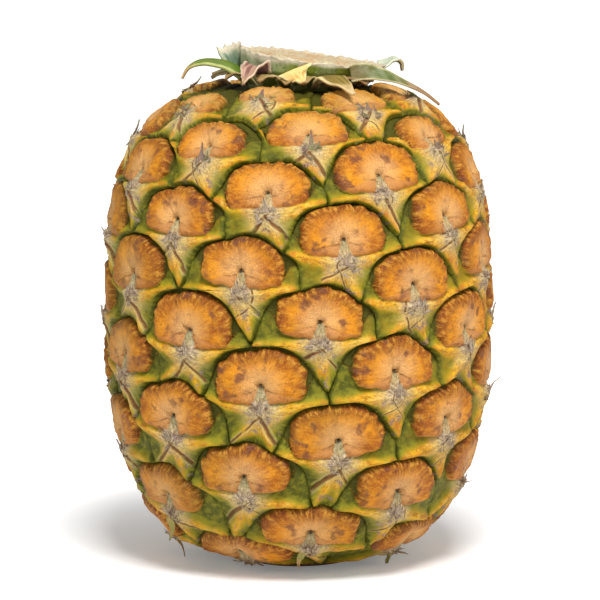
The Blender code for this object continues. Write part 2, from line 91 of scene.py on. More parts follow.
GUARDS = 9
GUARD_AWAY = 0.42
CELL_WIDENING = 0.8
CREVICE_DEPTH = 3.7
CREVICE_STEP = 2.0
CREVICE_BULGE = 0.19
CREVICE_SKEW = 0.8
CREVICE_ARCH = 1.3
CREVICE_LEAN = 0.4
CREVICE_CALM = 0.3

WING_SPANS = ((158, 226), (-46, 22), (228, 268), (272, 312))
MARGIN_DROP, MARGIN_BOW, MARGIN_UPTURN = 0.33, 0.10, 0.34
STRIP_HALVES = (0.035, 0.12)
DOME_ROUNDING = 14
DOME_SPREAD = 1.16
DISC_HALF = 0.88
DISC_TALL = 1.15
DISC_SQUARENESS = 3.2
RIM_NOTCHES = ((0.42, 0.26, 5), (0.22, 1.1, 3))
RIM_DROP, RIM_WIDTH, RIM_POWER = 1.9, 2.1, 2.2
BEAK_DIMPLES = ((0.85, 0.27), (0.55, 0.10))
PIT_DEPTH = 1.5
FOLD_GROOVE, FOLD_STEP = 0.42, 0.18
MARGIN_EDGE_DROP = 1.1
WRINKLES = 7
WRINKLE_DEPTH = 0.42
RIB_DEPTH, RIB_WAVE = 0.26, 2.3

HEART_DROP = 0.50
WING_RIDGE = (0.0, 0.35, 0.75)
LOBE_RIDGE = (0.15, 0.7, 0.62)
RIDGE_BLEND = 3.5
BRACT_CAP = 2.5
HEART_CREST = 0.35
CREASE_SPANS = ((208, 232), (296, 318))
TORN = (0.2, 1.3)
LIP_DEPTH = 0.28
KEEL_CREST = 0.25
CORNER_DEPTH = 2.3
FLANK_FOOT = 2.9
FAR = 9.0

EDGE_INSET = (1.6, 1.1, 0.75, 0.45, 0.2)
TYPICAL_EYE = 26.8
LEVEL_SPREAD = 0.5
SPOKES = 132
INNER_RINGS, OUTER_RINGS = 18, 11
BANDS = 5


def barrel():
    """Outline over the crests from crown to base: a superellipse for the shoulder and one for the base.
    Columns of arc length, height, radius, outward normal, skin area so far, and t, the sum of arc length over
    radius."""
    rise = np.sin(np.linspace(0, math.pi / 2, OUTLINE_STEPS))
    top_z = BELLY_HEIGHT + SHOULDER_RISE * rise
    top_r = BELLY_RADIUS * (1 - rise ** SHOULDER_POWERS[0]) ** (1 / SHOULDER_POWERS[1])
    low_z = BELLY_HEIGHT * (1 - rise)
    low_r = BELLY_RADIUS * (1 - rise ** BASE_POWERS[0]) ** (1 / BASE_POWERS[1])
    z = np.concatenate([top_z[::-1], low_z[1:]])
    r = np.concatenate([top_r[::-1], low_r[1:]])
    step = np.hypot(np.diff(z), np.diff(r))
    arc = np.concatenate([[0], np.cumsum(step)])
    skin = np.concatenate([[0], np.cumsum(math.pi * (r[1:] + r[:-1]) * step)])
    inside = np.maximum((r[1:] + r[:-1]) / 2, 0.5)
    t = np.concatenate([[0], np.cumsum(step / inside)])
    t -= t[len(top_z) - 1]
    slope_r, slope_z = np.gradient(r, arc), np.gradient(z, arc)
    size = np.hypot(slope_r, slope_z)
    return {"arc": arc, "z": z, "r": r, "skin": skin, "t": t, "out": -slope_z / size, "up": slope_r / size}


BARREL = barrel()


def along_barrel(t, column):
    """A column of the outline at a t."""
    return np.interp(t, BARREL["t"], BARREL[column])


def skin_point(turn, t, depth):
    """Point at a turn round the axis and a t, moved inwards along the outline's normal by depth."""
    r = along_barrel(t, "r") - depth * along_barrel(t, "out")
    z = along_barrel(t, "z") - depth * along_barrel(t, "up")
    return np.stack([r * np.sin(turn), -r * np.cos(turn), z], -1)


def ring_t(radius, top):
    """The t where the outline has this radius, at the crown end or at the base."""
    half = BARREL["t"] < 0 if top else BARREL["t"] > 0
    order = np.argsort(BARREL["r"][half])
    return float(np.interp(radius, BARREL["r"][half][order], BARREL["t"][half][order]))


SEAT_T = ring_t(CROWN_SEAT_RADIUS, True)
FOOT_T = ring_t(BASE_FLAT_RADIUS, False)


def eye_centres():
    """Fruitlet k stands k divergence angles round the axis, where the skin area above it is its own number
    times the area of one fruitlet, which grows slowly down the fruit. Eight rows have slipped along
    themselves."""
    numbers = np.arange(FIRST_EYE, LAST_EYE + 1)
    slip = np.array(ROW_SLIPS)[numbers % ROWS]
    turn = np.radians(FACING + DIVERGENCE * numbers + (ROWS * DIVERGENCE - ROW_TURNS * 360) * slip)
    count = numbers + ROWS * slip + EYES_ABOVE
    skin = EYE_AREA * count * (1 + EYE_GROWTH * count)
    side = np.sqrt(EYE_AREA * (1 + 2 * EYE_GROWTH * count))
    arc = np.interp(skin, BARREL["skin"], BARREL["arc"]) + BEAK_RISE * side
    t = np.interp(arc, BARREL["arc"], BARREL["t"])
    turn = (turn + math.pi) % (2 * math.pi) - math.pi
    r = along_barrel(t, "r")
    top_r, base_r = CROWN_SEAT_RADIUS + EYE_CLEARS[0] * side, BASE_FLAT_RADIUS + EYE_CLEARS[1] * side
    keep = r > np.where(t < 0, top_r, base_r)
    return turn[keep], t[keep], side[keep], r[keep]


def cell_corners(turn, t):
    """Cells of equal nearness, where a step round the fruit counts less than a step down it, because a bract
    is wider than tall. The corners round each eye are the middles of the circles through it and two
    neighbours. Guard points past the crown seat and past the base close the outer cells."""
    guard = np.arange(GUARDS) * 2 * math.pi / GUARDS - math.pi
    guards = [np.stack([guard, np.full(GUARDS, at)], 1) for at in (SEAT_T - GUARD_AWAY, FOOT_T + GUARD_AWAY)]
    sites = np.concatenate([np.stack([turn, t], 1), *guards])
    copies = np.concatenate([sites + [shift * 2 * math.pi, 0] for shift in (0, -1, 1)]) * [CELL_WIDENING, 1]
    result = delaunay_2d_cdt([Vector(point) for point in copies], [], [], 0, 1e-7)
    around = {}
    for face in result[2]:
        face = [result[3][v][0] for v in face]
        a, b, c = copies[face]
        b, c = b - a, c - a
        bb, cc = b @ b, c @ c
        twice = 2 * (b[0] * c[1] - b[1] * c[0])
        middle = a + np.array([c[1] * bb - b[1] * cc, b[0] * cc - c[0] * bb]) / twice
        for v in face:
            if v < len(turn):
                around.setdefault(v, []).append(middle / [CELL_WIDENING, 1])
    for v, corners in around.items():
        corners.sort(key=lambda m: math.atan2(m[1] - t[v], m[0] - turn[v]))
    return around


EYE_TURN, EYE_T, EYE_SIDE, EYE_RADIUS = eye_centres()
CORNERS = cell_corners(EYE_TURN, EYE_T)


def crevice_round(eye):
    """Closed crevice line round one eye in local millimetres, +y towards the crown. Every side bulges towards
    the crown like an arch, since the round disc below pushes into the bract above it. On a steep side the
    arch leans to the crown end, so that the bract runs out in a pointed wing."""
    corners = CORNERS[eye]
    loop = []
    for start, end in zip(corners, corners[1:] + corners[:1]):
        along = end - start
        length = float(np.hypot(*along))
        scale = float(along_barrel((start[1] + end[1]) / 2, "r"))
        pieces = max(1, round(length * scale / CREVICE_STEP))
        side = np.array([along[1], -along[0]]) / max(length, 1e-9)
        side = -side if side[1] > 0 else side
        share = np.arange(pieces)[:, None] / pieces
        lower = share if along[1] > 0 else 1 - share
        steep = abs(along[1]) / max(length, 1e-9)
        arch = (4 * share * (1 - share)) ** CREVICE_ARCH * (1 - CREVICE_SKEW * steep * (2 * lower - 1))
        swell = CREVICE_BULGE * length * min(1.0, -side[1] / CREVICE_LEAN)
        swell *= min(1.0, max(0.0, (min(start[1], end[1]) - SEAT_T) / CREVICE_CALM))
        loop.append(start + along * share + side * swell * arch)
    plane = np.concatenate(loop)
    plane[:, 1] = np.clip(plane[:, 1], SEAT_T + 0.03, FOOT_T - 0.03)
    return (plane - [EYE_TURN[eye], EYE_T[eye]]) * [EYE_RADIUS[eye], -EYE_RADIUS[eye]]


def reach(local, heading):
    """Distance from the middle of the cell to its crevice along each heading."""
    b = np.roll(local, -1, axis=0) - local
    ray = np.stack([np.cos(heading), np.sin(heading)], -1)[:, None]
    det = b[:, 0] * ray[..., 1] - b[:, 1] * ray[..., 0]
    det = np.where(np.abs(det) < 1e-9, 1e-9, det)
    away = (b[:, 0] * local[:, 1] - b[:, 1] * local[:, 0]) / det
    share = (ray[..., 0] * local[:, 1] - ray[..., 1] * local[:, 0]) / det
    return np.where((away > 0) & (share > -1e-6) & (share < 1 + 1e-6), away, 1e9).min(axis=1)


def line_distance(x, y, line):
    """Distance to a line of points, and how far along it the nearest point lies, from 0 to 1."""
    best, share = np.full(x.shape, 99.0), np.zeros(x.shape)
    for i, ((ax, ay), (bx, by)) in enumerate(zip(line, line[1:])):
        dx, dy = bx - ax, by - ay
        f = np.clip(((x - ax) * dx + (y - ay) * dy) / max(dx * dx + dy * dy, 1e-9), 0, 1)
        d = np.hypot(x - ax - f * dx, y - ay - f * dy)
        share = np.where(d < best, (i + f) / (len(line) - 1), share)
        best = np.minimum(best, d)
    return best, share


def smooth(low, high, x):
    """0 at low, 1 at high and a smooth step between."""
    x = np.clip((x - low) / (high - low), 0, 1)
    return x * x * (3 - 2 * x)


def hump(x, width):
    """Bell curve of height 1 that has fallen to about a third at the width."""
    return np.exp(-((x / width) ** 2))


def ripple(x, y, draw, size, count=4):
    """Sum of a few plane waves with lengths round size, between about -1 and 1."""
    total = np.zeros(np.broadcast(x, y).shape)
    for _ in range(count):
        a, stretch, phase = draw.uniform(0, 6.28), draw.uniform(0.7, 1.4), draw.uniform(0, 6.28)
        total = total + np.sin(6.28 / (size * stretch) * (x * math.cos(a) + y * math.sin(a)) + phase)
    return total / count ** 0.5


def wing_ends(local):
    """Farthest point of the crevice to the left, to the right, and below to the left and to the right."""
    ends = []
    for low, high in WING_SPANS:
        span = np.radians(np.arange(low, high + 1, 2))
        far = reach(local, span) * (1 - 0.15 * np.abs(np.linspace(-1, 1, len(span))))
        best = int(np.argmax(far))
        size = float(reach(local, span[best:best + 1])[0])
        ends.append((size * math.cos(span[best]), size * math.sin(span[best])))
    return ends


def disc_plan(x, y, phi, gap, edge, size, beak_y, draw):
    """Where the disc lies. Its lower margin is bowed, turned up at both ends and parted by the papery strip
    that runs up to the beak, and its rim is a notched cushion outline kept inside the crevice. All are
    distances, positive inside the disc, and the strip's is positive outside the strip."""
    beak_x = draw.uniform(-0.6, 0.6)
    tilt = draw.uniform(-0.09, 0.09)
    off = x - beak_x
    side = np.minimum(np.abs(off) / (0.90 * size), 1.2)
    drop = MARGIN_DROP - MARGIN_BOW * side ** 2 - MARGIN_UPTURN * smooth(0.78, 1.12, side) ** 1.3
    margin_y = beak_y - size * drop + tilt * off + 0.22 * ripple(x, 0 * x, draw, 5.0)
    strip_half = size * (STRIP_HALVES[0] + STRIP_HALVES[1] * np.clip((beak_y - y) / (0.34 * size), 0, 1))
    strip = np.maximum(np.abs(off - 0.15 * ripple(y, 0 * y, draw, 3.0)) - strip_half, y - beak_y)
    inner = np.minimum(y - margin_y, strip)
    dome = (edge ** -DOME_ROUNDING + (DOME_SPREAD * size) ** -DOME_ROUNDING) ** (-1 / DOME_ROUNDING)
    notch = sum(height * ripple(phi, 0 * phi, draw, wave, count) for height, wave, count in RIM_NOTCHES)
    square = (np.abs(off / (DISC_HALF * size)) ** DISC_SQUARENESS
              + np.abs((y - 0.1 * size) / (DISC_TALL * size)) ** DISC_SQUARENESS) ** (1 / DISC_SQUARENESS)
    rim = np.minimum(np.minimum(gap, 0.92 * (dome - np.hypot(x, y))), 0.95 * size * (1 - square))
    rim = rim - 0.10 - np.maximum(notch, -0.1)
    return {"beak_x": beak_x, "beak_y": beak_y, "beak": np.hypot(off, y - beak_y), "side": side,
            "margin_y": margin_y, "strip": strip, "inner": inner, "dome": dome, "rim": rim}


def disc_depth(x, y, phi, size, plan, draw):
    """The disc: a cushion rounded to its rim, dimpled to the beak with a ragged pit in it, creased in a fold
    above its lower margin, wrinkled in a fan from the beak and ribbed along the rim."""
    beak, side, inner, rim = (plan[key] for key in ("beak", "side", "inner", "rim"))
    off, above = x - plan["beak_x"], y - plan["beak_y"]
    disc = 0.10 + 0.55 * np.clip(np.hypot(x, y) / plan["dome"], 0, 1) ** 4 + 0.22 * ripple(x, y, draw, 11.0)
    disc = disc + RIM_DROP * np.clip(1 - rim / RIM_WIDTH, 0, 1.2) ** RIM_POWER
    (deep, wide), (low, narrow) = BEAK_DIMPLES
    disc = disc + deep * hump(beak, wide * size) + low * hump(beak, narrow * size)
    pit = hump(beak, 0.55)
    for _ in range(3):
        a = draw.uniform(0, 6.28)
        pit = np.maximum(pit, 0.8 * hump(np.hypot(off - 1.0 * math.cos(a), above - 0.8 * math.sin(a)), 0.45))
    disc = disc + PIT_DEPTH * pit
    band_y = plan["margin_y"] + np.maximum(0.30 * size * (1 - side / 0.95), 0) * smooth(0.0, 0.12, side)
    band = np.minimum(band_y - y, 3.0)
    disc = disc + FOLD_GROOVE * hump(band, 0.38) * smooth(0.95, 0.3, side)
    disc = disc + FOLD_STEP * smooth(-0.2, 0.5, band)
    disc = disc + MARGIN_EDGE_DROP * np.clip(1 - inner / 1.6, 0, 1) ** 2
    fan = np.zeros(x.shape)
    for _ in range(WRINKLES):
        a = math.radians(draw.uniform(10, 170))
        across = np.abs(off * math.sin(a) - above * math.cos(a))
        ahead = off * math.cos(a) + above * math.sin(a)
        run = smooth(0.4, 1.6, ahead) * smooth(draw.uniform(0.5, 1.0) * size, 0.2 * size, ahead)
        fan = np.maximum(fan, draw.uniform(0.3, 1) * run * hump(across, 0.30 + 0.05 * np.abs(ahead)))
    disc = disc + WRINKLE_DEPTH * fan
    ribs = ripple(phi * size, 0 * phi, draw, RIB_WAVE)
    return disc + RIB_DEPTH * ribs * hump(np.maximum(rim - 0.6, 0), 1.9), band


def bract_depth(x, y, size, ends, heart, plan, draw):
    """The bract: the highest of four roof-like ridges, two wings and two lobes, that meet at the heart below
    the beak, with a torn crease between the lobes on either side and a papery keel up to the beak."""
    strip, inner, rim = (plan[key] for key in ("strip", "inner", "rim"))
    depths = []
    for number, tip in enumerate(ends):
        wing = number < 2
        bend = (0.5 * (heart[0] + tip[0]), 0.5 * (heart[1] + tip[1]) + (0.03 * size if wing else 0))
        d, share = line_distance(x, y, [heart, bend, tip])
        start, end, slope = WING_RIDGE if wing else LOBE_RIDGE
        slope = slope * draw.uniform(0.85, 1.15)
        slope = slope * (0.5 + 0.75 * share)
        depth = start + (end + draw.uniform(-0.2, 0.3) - start) * share
        depths.append(depth + slope * (np.hypot(d, 0.7) - 0.7))
    bract = -np.log(np.exp(-RIDGE_BLEND * np.array(depths)).sum(0)) / RIDGE_BLEND + 0.30
    bract = BRACT_CAP - np.log1p(np.exp(3 * (BRACT_CAP - bract))) / 3
    bract = bract - HEART_CREST * hump(np.hypot(x - heart[0], y - heart[1]), 0.22 * size)
    creases = []
    for mirror, (low, high) in zip((-1, 1), CREASE_SPANS):
        a = math.radians(draw.uniform(low, high))
        x0, y0 = x - heart[0], y - heart[1]
        ahead = x0 * math.cos(a) + y0 * math.sin(a)
        across = mirror * (-x0 * math.sin(a) + y0 * math.cos(a) + 0.25 * ripple(ahead, 0 * ahead, draw, 7.0))
        torn = draw.uniform(*TORN)
        gash = (0.35 + 0.05 * ahead) * hump(across, 0.26 + 0.015 * ahead)
        lip = LIP_DEPTH * smooth(0.0, 0.35, across) * hump(np.maximum(across, 0), 2.4)
        bract = bract + (gash + lip) * (torn * smooth(0.3, 1.2, ahead))
        off_line = np.where(ahead > 0, across, np.sign(across) * np.hypot(across, ahead))
        creases.append(off_line / min(1.0, torn) + (0.0 if torn > 0.5 else FAR))
    bract = bract + 0.10 * ripple(x, y, draw, 3.2) + 0.16 * ripple(x, y, draw, 8.0)
    papery = hump(np.maximum(strip, 0), 0.5) * smooth(heart[1] - 0.3 * size, heart[1], y)
    bract = bract - KEEL_CREST * papery + 0.20 * papery * ripple(x, y, draw, 1.3)
    bract = bract + 0.6 * hump(np.minimum(inner, 0) + 0.1, 0.45) * smooth(0.2, 0.8, strip)
    corner = smooth(-0.1, -0.6, rim) * (inner > 0)
    return bract + corner * (CORNER_DEPTH - np.minimum(bract, CORNER_DEPTH)), creases


def eye_relief(x, y, phi, local, edge, eye, draw):
    """Depth of one fruitlet below the crests, from its local millimetres: the disc inside its margin and rim
    and the bract outside, and at the crevice a wall down to the foot. Also fields for the colours: signed
    distance in from the margin of the disc, into the fold band, to the papery strip, to the rim, the beak,
    the tips of the wings and both creases."""
    size = float(np.median(edge))
    ends = wing_ends(local)
    gap = line_distance(x, y, np.concatenate([local, local[:1]]))[0]
    plan = disc_plan(x, y, phi, gap, edge, size, BEAK_RISE * EYE_SIDE[eye], draw)
    inner, rim = plan["inner"], plan["rim"]
    disc, band = disc_depth(x, y, phi, size, plan, draw)
    heart_x = plan["beak_x"] + draw.uniform(-0.3, 0.3)
    heart = (heart_x, plan["beak_y"] - (HEART_DROP + draw.uniform(-0.03, 0.03)) * size)
    bract, creases = bract_depth(x, y, size, ends, heart, plan, draw)

    on_disc = smooth(-0.22, 0.22, np.minimum(inner, rim + 0.30))
    top = on_disc * disc + (1 - on_disc) * bract
    wall = np.where(on_disc > 0.5, smooth(0.05, 0.55, rim + 0.30), smooth(-0.05, 0.8, gap))
    foot = FLANK_FOOT + (CREVICE_DEPTH - FLANK_FOOT) * smooth(-1.5, 0.5, inner)
    depth = top + (foot - np.minimum(top, foot)) * (1 - wall)
    depth[-1] = foot[-1]
    tip_near = np.min([np.hypot(x - tip[0], y - tip[1]) for tip in ends], axis=0)
    return depth, {
        "zones": (inner, band, plan["strip"]),
        "edges": (np.where(inner > 0, np.minimum(rim, gap), gap), plan["beak"], np.minimum(tip_near, FAR)),
        "creases": (*creases, depth),
    }, heart


def fruitlet(eye, draw):
    """One closed pebble: a polar grid from the middle of the eye out to the crevice, then a ring tucked below
    it and a pole underneath. Local coordinates map to turn and t by the radius, which keeps angles. The
    fields end with places for grain: flat, in rays round the beak, and in rays round the heart of the
    bract."""
    local = crevice_round(eye)
    phi = np.arange(SPOKES) * 2 * math.pi / SPOKES
    edge = reach(local, phi)
    share = np.concatenate([np.linspace(0, 0.80, INNER_RINGS), np.linspace(0.825, 1.0, OUTER_RINGS + 1)[:-1]])
    outer = [np.maximum(edge - inset, 0.5 * edge)[None] for inset in EDGE_INSET]
    rings = np.concatenate([outer[0] * share[:, None], *outer, edge[None]])
    x, y = rings * np.cos(phi), rings * np.sin(phi)
    level = draw.uniform(0, LEVEL_SPREAD)
    depth, fields, heart = eye_relief(x, y, np.broadcast_to(phi, rings.shape), local, edge, eye, draw)
    deepen = min(1.0, EYE_SIDE[eye] / TYPICAL_EYE)
    tucked = [np.full((1, SPOKES), CREVICE_DEPTH + below) for below in (2.0, 3.5)]
    depth = np.concatenate([np.minimum(level + depth * deepen, CREVICE_DEPTH), *tucked])
    rings = np.concatenate([rings, 0.93 * edge[None], 0.5 * edge[None]])
    u, w = rings * np.cos(phi), rings * np.sin(phi)
    where_t = np.clip(EYE_T[eye] - w / EYE_RADIUS[eye], SEAT_T + 0.02, FOOT_T - 0.02)
    fields = {key: np.stack([np.broadcast_to(part, x.shape) for part in parts], -1)
              for key, parts in fields.items()}
    fields["spot"] = np.stack([x, y, np.full(x.shape, 60.0 * eye)], -1)
    for name, (cx, cy) in (("fan", (0.0, BEAK_RISE * EYE_SIDE[eye])), ("fibre", heart)):
        bearing = 7 * np.arctan2(y - cy, np.abs(x - cx) + 0.4)
        apart = 7.0 * eye + 2.5 * smooth(-1.5, 1.5, x - cx)
        fields[name] = np.stack([bearing, 0.30 * np.hypot(x - cx, y - cy), apart], -1)
    fields = {key: np.concatenate([part, part[-1:], part[-1:]]) for key, part in fields.items()}
    return skin_point(EYE_TURN[eye] + u / EYE_RADIUS[eye], where_t, depth), fields, (heart, level)


def polar_faces(rings, spokes, offset):
    """Quads of a polar grid whose first row is one point, with a closing fan at the first and the last
    row."""
    i, j = np.meshgrid(np.arange(1, rings - 1), np.arange(spokes), indexing="ij")
    k = (j + 1) % spokes
    row = 1 + (i - 1) * spokes
    quads = np.stack([row + j, row + spokes + j, row + spokes + k, row + k], -1).reshape(-1, 4) + offset
    j = np.arange(spokes)
    k = (j + 1) % spokes
    fan = np.stack([np.zeros(spokes, int), 1 + j, 1 + k], -1) + offset
    last = 1 + (rings - 2) * spokes
    end = np.stack([last + j, np.full(spokes, last + spokes), last + k], -1) + offset
    return quads, np.concatenate([fan, end])


def make_mesh(name, points, faces, vectors=None):
    """Object of this name in metres from points in millimetres, with vector attributes on its points."""
    mesh = bpy.data.meshes.new(name)
    mesh.from_pydata((np.asarray(points) * MM).tolist(), [], faces)
    mesh.polygons.foreach_set("use_smooth", [True] * len(mesh.polygons))
    for key, values in (vectors or {}).items():
        layer = mesh.attributes.new(key, "FLOAT_VECTOR", "POINT")
        layer.data.foreach_set("vector", np.asarray(values, np.float32).ravel())
    made = bpy.data.objects.new(name, mesh)
    bpy.context.scene.collection.objects.link(made)
    return made


def linear(hexed):
    """Linear colour from a display colour written as six hex digits."""
    display = [int(hexed[i:i + 2], 16) / 255 for i in (0, 2, 4)]
    return tuple(c / 12.92 if c <= 0.04045 else ((c + 0.055) / 1.055) ** 2.4 for c in display) + (1.0,)


class Nodes:
    """The node tree of a material or of the world, with a method for each kind of node that goes in it. A
    value is a number, a colour in hex digits or another node's output."""

    def __init__(self, tree):
        self.tree = tree

    def new(self, kind):
        return self.tree.nodes.new("ShaderNode" + kind)

    def put(self, socket, value):
        if isinstance(value, bpy.types.NodeSocket):
            self.tree.links.new(value, socket)
        else:
            socket.default_value = linear(value) if isinstance(value, str) else value

    def calc(self, kind, a, b=0.0, clamp=False):
        made = self.new("Math")
        made.operation = kind
        made.use_clamp = clamp
        self.put(made.inputs[0], a)
        self.put(made.inputs[1], b)
        return made.outputs[0]

    def plus(self, *terms):
        return functools.reduce(functools.partial(self.calc, "ADD"), terms)

    def times(self, *factors):
        return functools.reduce(functools.partial(self.calc, "MULTIPLY"), factors)

    def swing(self, value):
        """A noise from 0 to 1 moved to lie round 0."""
        return self.calc("SUBTRACT", value, 0.5)

    def fade(self, value, low, high):
        """0 below low, 1 above high and a smooth step between, or the other way round."""
        made = self.new("MapRange")
        made.interpolation_type = "SMOOTHSTEP"
        self.put(made.inputs["Value"], value)
        made.inputs["From Min"].default_value = min(low, high)
        made.inputs["From Max"].default_value = max(low, high)
        made.inputs["To Min"].default_value = 0.0 if low < high else 1.0
        made.inputs["To Max"].default_value = 1.0 if low < high else 0.0
        return made.outputs["Result"]

    def blend(self, share, a, b):
        """Colour a turning into colour b by share."""
        made = self.new("Mix")
        made.data_type = "RGBA"
        for number, value in ((0, share), (6, a), (7, b)):
            self.put(made.inputs[number], value)
        return made.outputs[2]

    def coats(self, colour, layers):
        """Lays named coats over a colour in turn. Each is a tone and the factors of how far it covers."""
        for tone, *factors in layers.values():
            colour = self.blend(self.times(*factors), colour, tone)
        return colour

    def grain(self, where, scale, detail=2.0, rough=0.55):
        made = self.new("TexNoise")
        self.put(made.inputs["Vector"], where)
        made.inputs["Scale"].default_value = scale
        made.inputs["Detail"].default_value = detail
        made.inputs["Roughness"].default_value = rough
        return made.outputs["Fac"]

    def place(self):
        return self.new("TexCoord").outputs["Object"]

    def attribute(self, name):
        made = self.new("Attribute")
        made.attribute_name = name
        return made.outputs["Vector"]

    def seen(self):
        """1 where the camera looks at a surface itself, and 0 for the light that it gives."""
        return self.new("LightPath").outputs["Is Camera Ray"]

    def split(self, vector):
        made = self.new("SeparateXYZ")
        self.put(made.inputs[0], vector)
        return made.outputs


def new_material(name):
    """Material of this name, its node tree and its shader."""
    made = bpy.data.materials.new(name)
    made.use_nodes = True
    return made, Nodes(made.node_tree), made.node_tree.nodes["Principled BSDF"]


def bumped(tree, shader, height, strength, distance):
    """Raises the surface by a height pattern, with the distance in millimetres."""
    made = tree.new("Bump")
    made.inputs["Strength"].default_value = strength
    made.inputs["Distance"].default_value = distance * MM
    tree.put(made.inputs["Height"], height)
    tree.put(shader.inputs["Normal"], made.outputs["Normal"])


def dress(piece, node, slot, material):
    """Gives a finished piece its material and says what it rides on and what it replaces. The slot argument,
    what it is made of, is not used.
    """
    piece.data.materials.append(material)
    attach(piece, "root")
    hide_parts(node)


